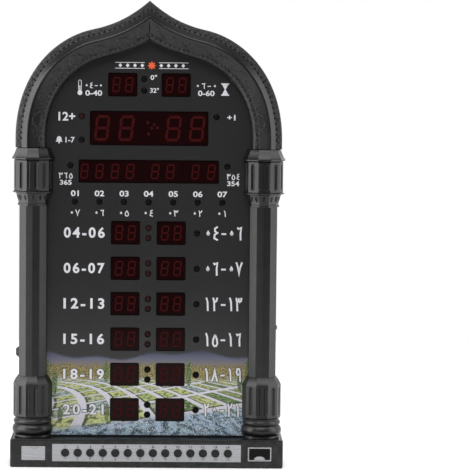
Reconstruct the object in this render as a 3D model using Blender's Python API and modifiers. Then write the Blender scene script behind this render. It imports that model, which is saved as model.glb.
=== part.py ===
"""Prayer-time wall and table clock: an arched frame on two columns over a plinth with a row of keys.

X runs to the right, Y from the front to the back, Z up, in metres.
The origin is the middle of the underside.
"""

import math

import bmesh
import bpy
from mathutils import Matrix, Vector

MM = 0.001

# Whole clock
TOTAL_HEIGHT = 420 * MM
CLEARANCE = 0.3 * MM
OVERRUN = 1 * MM

# Plinth, with the panel's place as a share of its depth
PANEL_PLACE_SHARE = 0.4615
BASE_WIDTH = 246 * MM
BASE_DEPTH = 52 * MM
BASE_HEIGHT = 26 * MM
BASE_WALL = 2.2 * MM
BASE_EDGE_RADIUS = 1.6 * MM
RIM_WIDTH = 1.6 * MM
RIM_HEIGHT = 1.2 * MM
BASE_COVER_THICKNESS = 2 * MM
FACE_RECESS = 0.6 * MM

# Key row
BUTTON_COUNT = 14
BUTTON_PITCH_SHARE = 0.0663
BUTTON_RISE = 0.7 * MM
BUTTON_DIAMETER = 6.9 * MM
BUTTON_PROUD = 1.6 * MM
BUTTON_EDGE = 0.5 * MM
BUTTON_TRAVEL = 0.8 * MM
BUTTON_LIP = 0.6 * MM
BUTTON_FLANGE_THICKNESS = 1 * MM
BUTTON_STEM_DIAMETER = 4 * MM
BUTTON_STEM_LENGTH = 1.8 * MM
BUTTON_SIDES = 12
BUTTON_HOLE_GAP = 0.35 * MM
PLATE_GAP = 6.3 * MM
PLATE_HEIGHT = 15.7 * MM
PLATE_THICKNESS = 0.7 * MM
TACT_GAP = 1.1 * MM
TACT_PLUNGER_DIAMETER = 3.2 * MM
TACT_PLUNGER_LENGTH = 1.2 * MM
TACT_SIZE = 6 * MM
TACT_HEIGHT = 3.5 * MM
BUTTON_BOARD_HEIGHT = 15 * MM
BUTTON_BOARD_SIDE_MARGIN = 5 * MM
BOARD_THICKNESS = 1.6 * MM
BOSS_DIAMETER = 5 * MM

# Badge place and receiver window
BADGE_INSET = 21.1 * MM
BADGE_WIDTH = 21.2 * MM
BADGE_HEIGHT = 12.6 * MM
BADGE_RISE = 0.1 * MM
BADGE_THICKNESS = 0.8 * MM
WINDOW_FRAME_BORDER = 1.1 * MM
WINDOW_LENS_THICKNESS = 1.5 * MM
RECEIVER_WIDTH = 7 * MM
RECEIVER_HEIGHT = 8 * MM
RECEIVER_DEPTH = 6 * MM

# Arch, as its outer and inner edges
ARCH_STEP_IN = 3.2 * MM
ARCH_BAND = 27.2 * MM
ARCH_TIP_BAND = 36 * MM
ARCH_FRONT_DEPTH = 15 * MM
ARCH_STEPS = 10

# Body behind the arch
BODY_INSET = 4.3 * MM
FRAME_DEPTH = 6 * MM
COVER_WALL = 2.2 * MM

# Columns
COLUMN_INSET = 16 * MM
COLUMN_AXIS_SETBACK = 1 * MM
SHAFT_WIDTH = 24.6 * MM
SHAFT_FRONT_WIDTH = 12.4 * MM
SHAFT_FRONT_DEPTH = 14 * MM
SHAFT_CREST = 0.9 * MM
SHAFT_OVERLAP = 2 * MM
COLUMN_SIDES = 28
CAPITAL_DROP = 8.6 * MM
CAPITAL_TOP_RADIUS = 15 * MM
CAPITAL_FLARE_RADIUS = 19.4 * MM
CAPITAL_FLARE_HEIGHT = 8.9 * MM
CAPITAL_FLARE_EDGE = 1.2 * MM
CAPITAL_FLARE_LIP = 2.3 * MM
DRUM_RADIUS = 17.5 * MM
CAPITAL_DRUM_HEIGHT = 27.2 * MM
CAPITAL_RING_RADIUS = 18.5 * MM
CAPITAL_RING_HEIGHT = 2 * MM
BELL_TOP_RADIUS = 15.6 * MM
BELL_STEP = 1 * MM
BELL_BOTTOM_RADIUS = 13.3 * MM
BELL_HEIGHT = 8.6 * MM
NECK_RING_RADIUS = 14.2 * MM
NECK_RING_HEIGHT = 2.2 * MM
SHOULDER_TOP_RADIUS = 12.9 * MM
SHOULDER_HEIGHT = 7.8 * MM
FOOT_DRUM_HEIGHT = 29.4 * MM
GROOVE_HEIGHT = 2.6 * MM
SMALL_TORUS_HEIGHT = 4.6 * MM
SMALL_TORUS_RADIUS = 17.2 * MM
GROOVE_RADIUS = 15.8 * MM
BIG_TORUS_HEIGHT = 9.4 * MM
BIG_TORUS_RADIUS = 18.2 * MM
FOOT_RADIUS = 16.4 * MM
FOOT_HEIGHT = 2.9 * MM
FLUTES_ROUND = 14
FLUTE_RADIUS = 1.9 * MM
FLUTE_DEPTH = 1.5 * MM
FLUTE_MARGIN = 1.6 * MM
FLUTE_SIDES = 6

# Display panel
PANEL_THICKNESS = 2.5 * MM
PANEL_TUCK = 4.4 * MM
PANEL_LEDGE = 2.4 * MM
PANEL_BOTTOM_RAIL = 1 * MM
LEDGE_BOTTOM_RAIL = 6 * MM
WINDOW_CORNER = 1.8 * MM
WINDOW_CORNER_STEPS = 2
ROW_COUNT = 6
ROW_WINDOW_GAP = 7.45 * MM
SMALL_WINDOW_WIDTH = 26.5 * MM
SMALL_WINDOW_HEIGHT = 21.4 * MM
TOP_WINDOW_GAP = 10.75 * MM
TIME_WINDOW_WIDTH = 107 * MM
TIME_WINDOW_HEIGHT = 31.2 * MM
DATE_WINDOW_WIDTH = 126.8 * MM
DATE_WINDOW_HEIGHT = 21.1 * MM
YEAR_WIDTH = 57.5 * MM
MONTH_WIDTH = 35 * MM
DISPLAY_GAP = 0.6 * MM
DISPLAY_RECESS = 1 * MM
DISPLAY_DEPTH = 7.8 * MM

# Indicator lamps
LAMP_RADIUS = 2.5 * MM
LAMP_GAP = 0.3 * MM
LAMP_RECESS = 0.6 * MM
LAMP_DOME = 1.4 * MM
LAMP_SIDES = 8
COLON_OFFSET = 4.6 * MM
ROW_LAMP_GAP = 10 * MM
UNIT_LAMP_X = 4.75 * MM
UNIT_LAMP_OFFSET = 5.3 * MM
TIME_LAMP_GAP = 7.1 * MM
TIME_LAMP_OFFSET = 10.6 * MM
DATE_LAMP_GAP = 7.4 * MM
DATE_LAMP_RISE = 5.2 * MM
WEEKDAY_COUNT = 7
WEEKDAY_PITCH = 22.2 * MM

# Display board and its posts
DISPLAY_BOARD_INSET = 20.8 * MM
DISPLAY_BOARD_BOTTOM_Z = 36 * MM
BOARD_POST_INSET = 23 * MM
BOARD_POST_DIAMETER = 4.4 * MM
BOARD_POST_LOW_Z = 66 * MM

# Rear cover screws
SCREW_BOSS_DIAMETER = 9.4 * MM
FRAME_BOSS_DIAMETER = 7.6 * MM
FRAME_BOSS_LENGTH = 10 * MM
SCREW_SHANK_DIAMETER = 2.8 * MM
SCREW_HEAD_DIAMETER = 6 * MM
SCREW_HEAD_HEIGHT = 2.2 * MM
SCREW_SEAT = 3 * MM
SCREW_LENGTH = 11 * MM
SCREW_INSET = 15.3 * MM
SCREW_LOW_Z = 50 * MM

# Keyhole hangers
KEYHOLE_X = 66 * MM
KEYHOLE_HEAD_RADIUS = 4.6 * MM
KEYHOLE_SLOT_WIDTH = 4.8 * MM
KEYHOLE_SLOT_LENGTH = 9 * MM

# Loudspeaker and its grille
SPEAKER_Z = 90 * MM
SPEAKER_RADIUS = 26 * MM
SPEAKER_RIM_THICKNESS = 1.6 * MM
SPEAKER_GAP = 1.4 * MM
SPEAKER_MAGNET_RADIUS = 15 * MM
SPEAKER_MAGNET_DEPTH = 4.8 * MM
SPEAKER_CONE_RADIUS = 22 * MM
SPEAKER_CONE_SHARE = 0.465
SPEAKER_CAP_RADIUS = 8 * MM
GRILLE_SLOT_COUNT = 9
GRILLE_SLOT_HEIGHT = 2.2 * MM
GRILLE_SLOT_PITCH = 4.8 * MM
SPEAKER_RIB_THICKNESS = 1.6 * MM
SPEAKER_RIB_HEIGHT = 4 * MM

# Control board
CONTROL_BOARD_GAP = 13.1 * MM
CONTROL_BOARD_HEIGHT = 64 * MM
CONTROL_BOARD_SETBACK = 8.5 * MM
CONTROL_POST_INSET = 5 * MM
CHIP_SIZE = 14 * MM
CHIP_HEIGHT = 2 * MM
CAPACITOR_DIAMETER = 8 * MM
CAPACITOR_HEIGHT = 6.5 * MM
CAPACITOR_PITCH = 11 * MM
CAPACITOR_COUNT = 3
CONNECTOR_WIDTH = 26 * MM
CONNECTOR_HEIGHT = 5 * MM

# Battery bay
CELL_DIAMETER = 20 * MM
CELL_THICKNESS = 3.2 * MM
CELL_EDGE = 0.3 * MM
BAY_INSET = 43.5 * MM
BAY_SIZE = 22.6 * MM
BAY_WALL = 1.6 * MM
BAY_DEPTH = 10.6 * MM
DOOR_LIP = 1.6 * MM
DOOR_THICKNESS = 1.4 * MM
DOOR_SUNK = 0.3 * MM
DOOR_GRIP_WIDTH = 8 * MM
DOOR_GRIP_DEPTH = 0.6 * MM

# Power inlet, in the right side
JACK_Z = 76 * MM
JACK_WIDTH = 10.4 * MM
JACK_LENGTH = 13.6 * MM
JACK_BORE_RADIUS = 3.25 * MM
JACK_BORE_DEPTH = 10 * MM
JACK_PIN_RADIUS = 1 * MM
JACK_PIN_LENGTH = 6.6 * MM
JACK_MOUTH_RADIUS = 4.6 * MM
SIDE_CONTROL_SHARE = 0.5707

# Volume knob, in the left side
KNOB_Z = 99.9 * MM
KNOB_DIAMETER = 11.2 * MM
KNOB_TIP_DIAMETER = 6 * MM
KNOB_HEIGHT = 4.3 * MM
KNOB_SHAFT_DIAMETER = 5 * MM
KNOB_SHAFT_LENGTH = 4.2 * MM
KNOB_GROOVES = 12
KNOB_GROOVE_RADIUS = 0.5 * MM
VOLUME_CONTROL_SIZE = 12 * MM
VOLUME_CONTROL_DEPTH = 8 * MM
VOLUME_SOCKET_DEPTH = 2.4 * MM

# Slide switch, in the right side
SWITCH_Z = 123.8 * MM
SWITCH_LEVER_HEIGHT = 3.7 * MM
SWITCH_LEVER_WIDTH = 2.2 * MM
SWITCH_LEVER_PROUD = 2.4 * MM
SWITCH_TRAVEL = 3 * MM
SWITCH_POCKET_DEPTH = 3 * MM
SWITCH_BODY_WIDTH = 6.4 * MM
SWITCH_BODY_HEIGHT = 15 * MM
SWITCH_BODY_DEPTH = 7 * MM

# Heights as shares of the way from the plinth's top to the arch's tip
ARCH_SPRING_SHARE = 0.6853
TOP_WINDOW_SHARE = 0.8084
TIME_WINDOW_SHARE = 0.7089
DATE_WINDOW_SHARE = 0.6099
WEEKDAY_SHARE = 0.5398
FIRST_ROW_SHARE = 0.469
LAST_ROW_SHARE = 0.0599
KEYHOLE_SHARE = 0.6954
BOARD_POST_SHARE = 0.4416
CONTROL_BOARD_SHARE = 0.4061


def share_height(share):
    return BASE_HEIGHT + share * (TOTAL_HEIGHT - BASE_HEIGHT)


# Places worked out from the sizes
FRONT_Y = (BUTTON_PROUD - BASE_DEPTH) / 2
BACK_Y = FRONT_Y + BASE_DEPTH
PANEL_Y = FRONT_Y + PANEL_PLACE_SHARE * BASE_DEPTH
TRIM_BACK_Y = PANEL_Y - CLEARANCE
FRAME_BACK_Y = PANEL_Y + FRAME_DEPTH
COVER_FRONT_Y = FRAME_BACK_Y + CLEARANCE
COVER_INSIDE_Y = BACK_Y - COVER_WALL
TRAY_Z = BASE_HEIGHT - RIM_HEIGHT
BODY_BOTTOM_Z = TRAY_Z + CLEARANCE
ARCH_HALF_WIDTH = BASE_WIDTH / 2 - ARCH_STEP_IN
BODY_HALF_WIDTH = ARCH_HALF_WIDTH - BODY_INSET
COLUMN_X = ARCH_HALF_WIDTH - COLUMN_INSET
BADGE_X = BASE_WIDTH / 2 - BADGE_INSET
BADGE_Z = BASE_HEIGHT / 2 + BADGE_RISE
PLATE_WIDTH = 2 * (BADGE_X - BADGE_WIDTH / 2 - PLATE_GAP)
BUTTON_PITCH = PLATE_WIDTH * BUTTON_PITCH_SHARE
BUTTON_Z = BASE_HEIGHT / 2 + BUTTON_RISE
BUTTON_FLANGE_DIAMETER = BUTTON_DIAMETER + 2 * BUTTON_LIP
ARCH_SPRING_Z = share_height(ARCH_SPRING_SHARE)
TOP_WINDOW_Z = share_height(TOP_WINDOW_SHARE)
TIME_WINDOW_Z = share_height(TIME_WINDOW_SHARE)
DATE_WINDOW_Z = share_height(DATE_WINDOW_SHARE)
WEEKDAY_Z = share_height(WEEKDAY_SHARE)
FIRST_ROW_Z = share_height(FIRST_ROW_SHARE)
ROW_PITCH = (FIRST_ROW_Z - share_height(LAST_ROW_SHARE)) / (ROW_COUNT - 1)
KEYHOLE_Z = share_height(KEYHOLE_SHARE)
BOARD_POST_HIGH_Z = share_height(BOARD_POST_SHARE)
CONTROL_BOARD_Z = share_height(CONTROL_BOARD_SHARE)
BAY_X = BODY_HALF_WIDTH - BAY_INSET
BAY_Z = CONTROL_BOARD_Z
CONTROL_BOARD_WIDTH = 2 * (BAY_X - BAY_SIZE / 2 - BAY_WALL - CONTROL_BOARD_GAP)
ROW_WINDOW_X = ROW_WINDOW_GAP + SMALL_WINDOW_WIDTH / 2
TOP_WINDOW_X = TOP_WINDOW_GAP + SMALL_WINDOW_WIDTH / 2
ROW_LAMP_X = ROW_WINDOW_X + SMALL_WINDOW_WIDTH / 2 + ROW_LAMP_GAP
TIME_LAMP_X = TIME_WINDOW_WIDTH / 2 + TIME_LAMP_GAP
DATE_LAMP_X = DATE_WINDOW_WIDTH / 2 + DATE_LAMP_GAP
CAPITAL_TOP_Z = ARCH_SPRING_Z - CAPITAL_DROP
CAPITAL_FLARE_Z = CAPITAL_TOP_Z - CAPITAL_FLARE_HEIGHT
CAPITAL_DRUM_TOP_Z = CAPITAL_FLARE_Z - CAPITAL_FLARE_LIP
CAPITAL_DRUM_BOTTOM_Z = CAPITAL_DRUM_TOP_Z - CAPITAL_DRUM_HEIGHT
CAPITAL_RING_BOTTOM_Z = CAPITAL_DRUM_BOTTOM_Z - CAPITAL_RING_HEIGHT
BELL_TOP_Z = CAPITAL_RING_BOTTOM_Z - BELL_STEP
BELL_BOTTOM_Z = BELL_TOP_Z - BELL_HEIGHT
SHAFT_TOP_Z = BELL_BOTTOM_Z - NECK_RING_HEIGHT
BIG_TORUS_BOTTOM_Z = BODY_BOTTOM_Z + FOOT_HEIGHT
SMALL_TORUS_BOTTOM_Z = BIG_TORUS_BOTTOM_Z + BIG_TORUS_HEIGHT
SMALL_TORUS_TOP_Z = SMALL_TORUS_BOTTOM_Z + SMALL_TORUS_HEIGHT
BASE_DRUM_BOTTOM_Z = SMALL_TORUS_TOP_Z + GROOVE_HEIGHT
BASE_DRUM_TOP_Z = BASE_DRUM_BOTTOM_Z + FOOT_DRUM_HEIGHT
SHAFT_BOTTOM_Z = BASE_DRUM_TOP_Z + SHOULDER_HEIGHT
PANEL_BACK_Y = PANEL_Y + PANEL_THICKNESS
BASE_INSIDE_Y = FRONT_Y + BASE_WALL
DISPLAY_FRONT_Y = PANEL_Y + DISPLAY_RECESS
DISPLAY_BOARD_Y = DISPLAY_FRONT_Y + DISPLAY_DEPTH + CLEARANCE
SIDE_CONTROL_Y = FRAME_BACK_Y + SIDE_CONTROL_SHARE * (COVER_INSIDE_Y - FRAME_BACK_Y)
SPEAKER_RIM_Y = COVER_INSIDE_Y - CLEARANCE
SPEAKER_BACK_Y = DISPLAY_BOARD_Y + BOARD_THICKNESS + SPEAKER_GAP
SPEAKER_BASKET_Y = SPEAKER_BACK_Y + SPEAKER_MAGNET_DEPTH
SPEAKER_CONE_Y = SPEAKER_RIM_Y - SPEAKER_CONE_SHARE * (SPEAKER_RIM_Y - SPEAKER_BASKET_Y)
SIDE_INSIDE_X = BODY_HALF_WIDTH - COVER_WALL
COVER_BOSS_FRONT_Y = FRAME_BACK_Y + FRAME_BOSS_LENGTH + CLEARANCE

# Shares of the arch's half width and rise: two Bezier spans from the spring to the tip
OUTER_EDGE_SHARES = ((1, 0), (1, 0.438), (0.735, 0.724), (0.422, 0.791),
                     (0.243, 0.829), (0.125, 0.896), (0, 1))
INNER_EDGE_SHARES = ((1, 0), (1, 0.486), (0.729, 0.724), (0.474, 0.805),
                     (0.313, 0.856), (0.114, 0.913), (0, 1))

# Shares of the band's width from its outer edge, and of its depth from the back
BAND_SECTION_SHARES = ((0, 0), (0, 0.46), (0.04, 0.62), (0.15, 0.81), (0.21, 0.92), (0.28, 0.99),
                       (0.36, 0.99), (0.43, 0.92), (0.55, 0.69), (0.8, 0.34), (0.87, 0.3),
                       (0.97, 0.27), (1, 0.2), (1, 0))


def material(name, colour, roughness, metallic=0.0):
    """A Principled material with one plain colour."""
    made = bpy.data.materials.new(name)
    made.use_nodes = True
    shader = made.node_tree.nodes["Principled BSDF"]
    shader.inputs["Base Color"].default_value = (*colour, 1)
    shader.inputs["Roughness"].default_value = roughness
    shader.inputs["Metallic"].default_value = metallic
    return made


def clear_scene():
    for old in list(bpy.data.objects):
        bpy.data.objects.remove(old, do_unlink=True)


def new_collection(name):
    made = bpy.data.collections.new(name)
    bpy.context.scene.collection.children.link(made)
    return made


def place_mesh(name, mesh):
    made = bpy.data.objects.new(name, mesh)
    PIECES.objects.link(made)
    return made


def mesh_from(name, work):
    mesh = bpy.data.meshes.new(name)
    work.to_mesh(mesh)
    work.free()
    return place_mesh(name, mesh)


def box(name, low, high):
    """A box between two corners."""
    low, high = Vector(low), Vector(high)
    work = bmesh.new()
    bmesh.ops.create_cube(work, size=1)
    size = Matrix.Diagonal(high - low).to_4x4()
    bmesh.ops.transform(work, matrix=Matrix.Translation((low + high) / 2) @ size, verts=work.verts)
    return mesh_from(name, work)


def rod(name, start, end, radius, sides=16, end_radius=None):
    """A cylinder or a cone between two points."""
    start, end = Vector(start), Vector(end)
    along = end - start
    work = bmesh.new()
    bmesh.ops.create_cone(work, cap_ends=True, segments=sides, radius1=radius,
                          radius2=radius if end_radius is None else end_radius, depth=along.length)
    turn = along.to_track_quat("Z", "Y").to_matrix().to_4x4()
    bmesh.ops.transform(work, matrix=Matrix.Translation((start + end) / 2) @ turn, verts=work.verts)
    return mesh_from(name, work)


def turned(name, profile, sides, axis="Z", place=(0, 0, 0)):
    """A turned solid: the profile's (radius, height) points run down its outer side, top to bottom."""
    work = bmesh.new()
    corners = [work.verts.new((radius, 0, height)) for radius, height in profile]
    for upper, lower in zip(corners, corners[1:]):
        work.edges.new((upper, lower))
    made = mesh_from(name, work)
    screw = made.modifiers.new("Turn", "SCREW")
    screw.steps = screw.render_steps = sides
    screw.use_merge_vertices = True
    screw.merge_threshold = 0.00001
    apply_modifiers(made)
    if axis == "Y":
        made.data.transform(Matrix.Rotation(math.radians(-90), 4, "X"))
    if axis == "X":
        made.data.transform(Matrix.Rotation(math.radians(90), 4, "Y"))
    made.data.transform(Matrix.Translation(place))
    return made


def apply_modifiers(piece):
    """Replace the mesh by its evaluated one."""
    graph = bpy.context.evaluated_depsgraph_get()
    mesh = bpy.data.meshes.new_from_object(piece.evaluated_get(graph))
    piece.modifiers.clear()
    piece.data = mesh


def outline_curve(name, outlines, thickness):
    curve = bpy.data.curves.new(name, "CURVE")
    curve.dimensions = "2D"
    curve.fill_mode = "BOTH"
    curve.extrude = thickness / 2
    for outline in outlines:
        spline = curve.splines.new("POLY")
        spline.points.add(len(outline) - 1)
        for point, (across, up) in zip(spline.points, outline):
            point.co = (across, up, 0, 1)
        spline.use_cyclic_u = True
    return curve


def curve_to_mesh(name, curve, matrix):
    """The curve's filled solid as a mesh, its caps welded to its sides."""
    holder = place_mesh(name + "_curve", curve)
    holder.matrix_world = matrix
    bpy.context.view_layer.update()
    graph = bpy.context.evaluated_depsgraph_get()
    mesh = bpy.data.meshes.new_from_object(holder.evaluated_get(graph))
    bpy.data.objects.remove(holder, do_unlink=True)
    work = bmesh.new()
    work.from_mesh(mesh)
    bmesh.ops.remove_doubles(work, verts=work.verts, dist=0.000001)
    bmesh.ops.transform(work, matrix=matrix, verts=work.verts)
    work.normal_update()
    made = mesh_from(name, work)
    return made


def plate(name, outlines, front, back):
    """Upright plate from (x, z) outlines, the first one round the holes in it."""
    curve = outline_curve(name, outlines, back - front)
    stand = Matrix.Translation((0, (front + back) / 2, 0)) @ Matrix.Rotation(math.radians(90), 4, "X")
    return curve_to_mesh(name, curve, stand)


def prism(name, outline, low, high):
    """Upright bar from an (x, y) outline."""
    curve = outline_curve(name, [outline], high - low)
    return curve_to_mesh(name, curve, Matrix.Translation((0, 0, (low + high) / 2)))


def joined(name, pieces):
    """Several shapes as one mesh, each still its own body."""
    work = bmesh.new()
    for piece in pieces:
        work.from_mesh(piece.data)
        bpy.data.objects.remove(piece, do_unlink=True)
    return mesh_from(name, work)


def boolean(piece, pieces, operation):
    tool = joined(f"{piece.name}_{operation.lower()}", pieces)
    PIECES.objects.unlink(tool)
    CUTTERS.objects.link(tool)
    tool.hide_render = True
    tool.display_type = "WIRE"
    change = piece.modifiers.new(operation.title(), "BOOLEAN")
    change.operation = operation
    change.object = tool


def cut(piece, *cutters):
    boolean(piece, cutters, "DIFFERENCE")


def fuse(piece, *others):
    boolean(piece, others, "UNION")


def finish(piece, surface, smooth=True):
    piece.data.materials.clear()
    piece.data.materials.append(surface)
    if smooth:
        piece.data.shade_smooth()
        piece.data.set_sharp_from_angle(angle=math.radians(32))
    return piece


def bevel(piece, width, segments=2):
    edge = piece.modifiers.new("Edges", "BEVEL")
    edge.width = width
    edge.segments = segments


def bezier(points, along):
    rest = 1 - along
    weights = (rest ** 3, 3 * along * rest ** 2, 3 * along ** 2 * rest, along ** 3)
    return sum((Vector(point) * weight for point, weight in zip(points, weights)), Vector((0, 0)))


def edge_point(shares, half_width, tip_z, along):
    """A point of one edge of the arch; along runs from 0 at the spring to 2 at the tip."""
    span = 0 if along <= 1 else 1
    corners = shares[span * 3:span * 3 + 4]
    across, rise = bezier(corners, along - span)
    return Vector((across * half_width, ARCH_SPRING_Z + rise * (tip_z - ARCH_SPRING_Z)))


def band_point(along, share):
    """A point of the arch's band, share running from 0 at its outer edge to 1 at its inner one."""
    outer = edge_point(OUTER_EDGE_SHARES, ARCH_HALF_WIDTH, TOTAL_HEIGHT, along)
    inner = edge_point(INNER_EDGE_SHARES, ARCH_HALF_WIDTH - ARCH_BAND, TOTAL_HEIGHT - ARCH_TIP_BAND, along)
    return outer.lerp(inner, share)


def band_share(inset):
    return inset / ARCH_BAND


def arch_outline(inset, bottom_z, steps=ARCH_STEPS):
    """A closed outline that follows the arch at an inset from its outer edge, with straight legs."""
    share = band_share(inset)
    right = [Vector((ARCH_HALF_WIDTH - inset, bottom_z))]
    right += [band_point(step / steps, share) for step in range(2 * steps)]
    tip = band_point(2, share)
    left = [Vector((-point.x, point.y)) for point in reversed(right)]
    return right + [Vector((0, tip.y))] + left


def rounded_window(centre_x, centre_z, width, height, radius=WINDOW_CORNER):
    """The outline of a window with round corners."""
    outline = []
    for corner in range(4):
        side_x = 1 if corner in (0, 3) else -1
        side_z = 1 if corner in (0, 1) else -1
        middle = Vector((centre_x + side_x * (width / 2 - radius),
                         centre_z + side_z * (height / 2 - radius)))
        for step in range(WINDOW_CORNER_STEPS + 1):
            angle = math.radians(90) * (corner + step / WINDOW_CORNER_STEPS)
            outline.append(middle + radius * Vector((math.cos(angle), math.sin(angle))))
    return outline


def round_hole(centre_x, centre_z, radius, sides):
    centre = Vector((centre_x, centre_z))
    turns = [math.tau * (side + 1 / 2) / sides for side in range(sides)]
    return [centre + radius * Vector((math.cos(turn), math.sin(turn))) for turn in turns]


def row_heights():
    return [FIRST_ROW_Z - row * ROW_PITCH for row in range(ROW_COUNT)]


def lamp_places():
    """The indicator lamps' centres on the panel."""
    places = []
    for row_z in row_heights():
        places += [(0, row_z + COLON_OFFSET), (0, row_z - COLON_OFFSET), (ROW_LAMP_X, row_z)]
    places += [(-UNIT_LAMP_X, TOP_WINDOW_Z + side * UNIT_LAMP_OFFSET) for side in (1, -1)]
    places += [(-TIME_LAMP_X, TIME_WINDOW_Z + side * TIME_LAMP_OFFSET) for side in (1, -1)]
    places += [(TIME_LAMP_X, TIME_WINDOW_Z + TIME_LAMP_OFFSET)]
    places += [(side * DATE_LAMP_X, DATE_WINDOW_Z + DATE_LAMP_RISE) for side in (-1, 1)]
    middle = (WEEKDAY_COUNT - 1) / 2
    places += [((day - middle) * WEEKDAY_PITCH, WEEKDAY_Z) for day in range(WEEKDAY_COUNT)]
    return places


def window_places():
    """Name, centre and size of every window in the panel."""
    windows = [("temperature", -TOP_WINDOW_X, TOP_WINDOW_Z, SMALL_WINDOW_WIDTH, SMALL_WINDOW_HEIGHT),
               ("countdown", TOP_WINDOW_X, TOP_WINDOW_Z, SMALL_WINDOW_WIDTH, SMALL_WINDOW_HEIGHT),
               ("main_time", 0, TIME_WINDOW_Z, TIME_WINDOW_WIDTH, TIME_WINDOW_HEIGHT)]
    for row, row_z in enumerate(row_heights(), start=1):
        for side, word in ((-1, "hours"), (1, "minutes")):
            windows.append((f"row_{row}_{word}", side * ROW_WINDOW_X, row_z, SMALL_WINDOW_WIDTH,
                            SMALL_WINDOW_HEIGHT))
    return windows


def screw_places():
    """Where the rear cover's screws go: two low in the sides and two in the arch."""
    low = Vector((ARCH_HALF_WIDTH - SCREW_INSET, SCREW_LOW_Z))
    high = band_point(0.8, band_share(SCREW_INSET))
    return [(f"cover_screw_{place}_{word}", side * spot.x, spot.y)
            for place, spot in (("low", low), ("high", high)) for word, side in (("left", -1), ("right", 1))]


def board_post_places():
    across = ARCH_HALF_WIDTH - BOARD_POST_INSET
    spots = [Vector((across, height)) for height in (BOARD_POST_LOW_Z, BOARD_POST_HIGH_Z)]
    spots.append(band_point(0.6, band_share(BOARD_POST_INSET)))
    return [(side * spot.x, spot.y) for spot in spots for side in (-1, 1)]


def button_places():
    middle = (BUTTON_COUNT - 1) / 2
    return [(place - middle) * BUTTON_PITCH for place in range(BUTTON_COUNT)]


def bulge(radius_low, radius_high, top_z, bottom_z, steps=6):
    """Profile points of a round moulding that swells between two heights."""
    swell = radius_high - radius_low
    return [(radius_low + swell * math.sin(math.pi * step / steps), top_z + (bottom_z - top_z) * step / steps)
            for step in range(steps + 1)]


def hollow(radius_top, radius_bottom, top_z, bottom_z, steps=4):
    """Profile points of a quarter hollow from a wide top to a narrow bottom."""
    return [(radius_bottom + (radius_top - radius_bottom) * (1 - math.sin(math.pi / 2 * step / steps)),
             top_z + (bottom_z - top_z) * step / steps) for step in range(steps + 1)]


def arch_frame(surface):
    """The arched band: a ridge nearer its outer edge that slopes in to the panel, mirrored on the middle."""
    foot_z = CAPITAL_TOP_Z + CLEARANCE
    stations = [-1] + [step / ARCH_STEPS for step in range(2 * ARCH_STEPS + 1)]
    work = bmesh.new()
    rings = []
    for along in stations:
        ring = []
        for share, depth in BAND_SECTION_SHARES:
            spot = band_point(max(along, 0), share)
            if along < 0:
                spot.y = foot_z
            if along == 2:
                spot.x = 0
            ring.append(work.verts.new((spot.x, TRIM_BACK_Y - depth * ARCH_FRONT_DEPTH, spot.y)))
        rings.append(ring)
    count = len(BAND_SECTION_SHARES)
    for lower, upper in zip(rings, rings[1:]):
        for side in range(count):
            following = (side + 1) % count
            work.faces.new((lower[side], lower[following], upper[following], upper[side]))
    work.faces.new(rings[0])
    bmesh.ops.recalc_face_normals(work, faces=work.faces)
    piece = mesh_from("arch_frame", work)
    mirror = piece.modifiers.new("Other half", "MIRROR")
    mirror.merge_threshold = 0.00001
    return finish(piece, surface)


def flute_cutters(centre_x, centre_y, low_z, high_z):
    """Round-ended flutes, cut on the front half of a drum."""
    cutters = []
    pitch = math.tau / FLUTES_ROUND
    reach = DRUM_RADIUS + FLUTE_RADIUS - FLUTE_DEPTH
    half = (high_z - low_z) / 2 - FLUTE_MARGIN
    quarter = [math.radians(90) * step / 2 for step in range(3)]
    top = [(FLUTE_RADIUS * math.sin(turn), half - FLUTE_RADIUS * (1 - math.cos(turn))) for turn in quarter]
    profile = top + [(radius, -height) for radius, height in reversed(top)]
    profile[0] = (0, half)
    profile[-1] = (0, -half)
    for place in range(-3, 3):
        turn = (place + 1 / 2) * pitch
        spot = (centre_x + reach * math.sin(turn), centre_y - reach * math.cos(turn), (low_z + high_z) / 2)
        cutters.append(turned("flute", profile, FLUTE_SIDES, place=spot))
    return cutters


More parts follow.
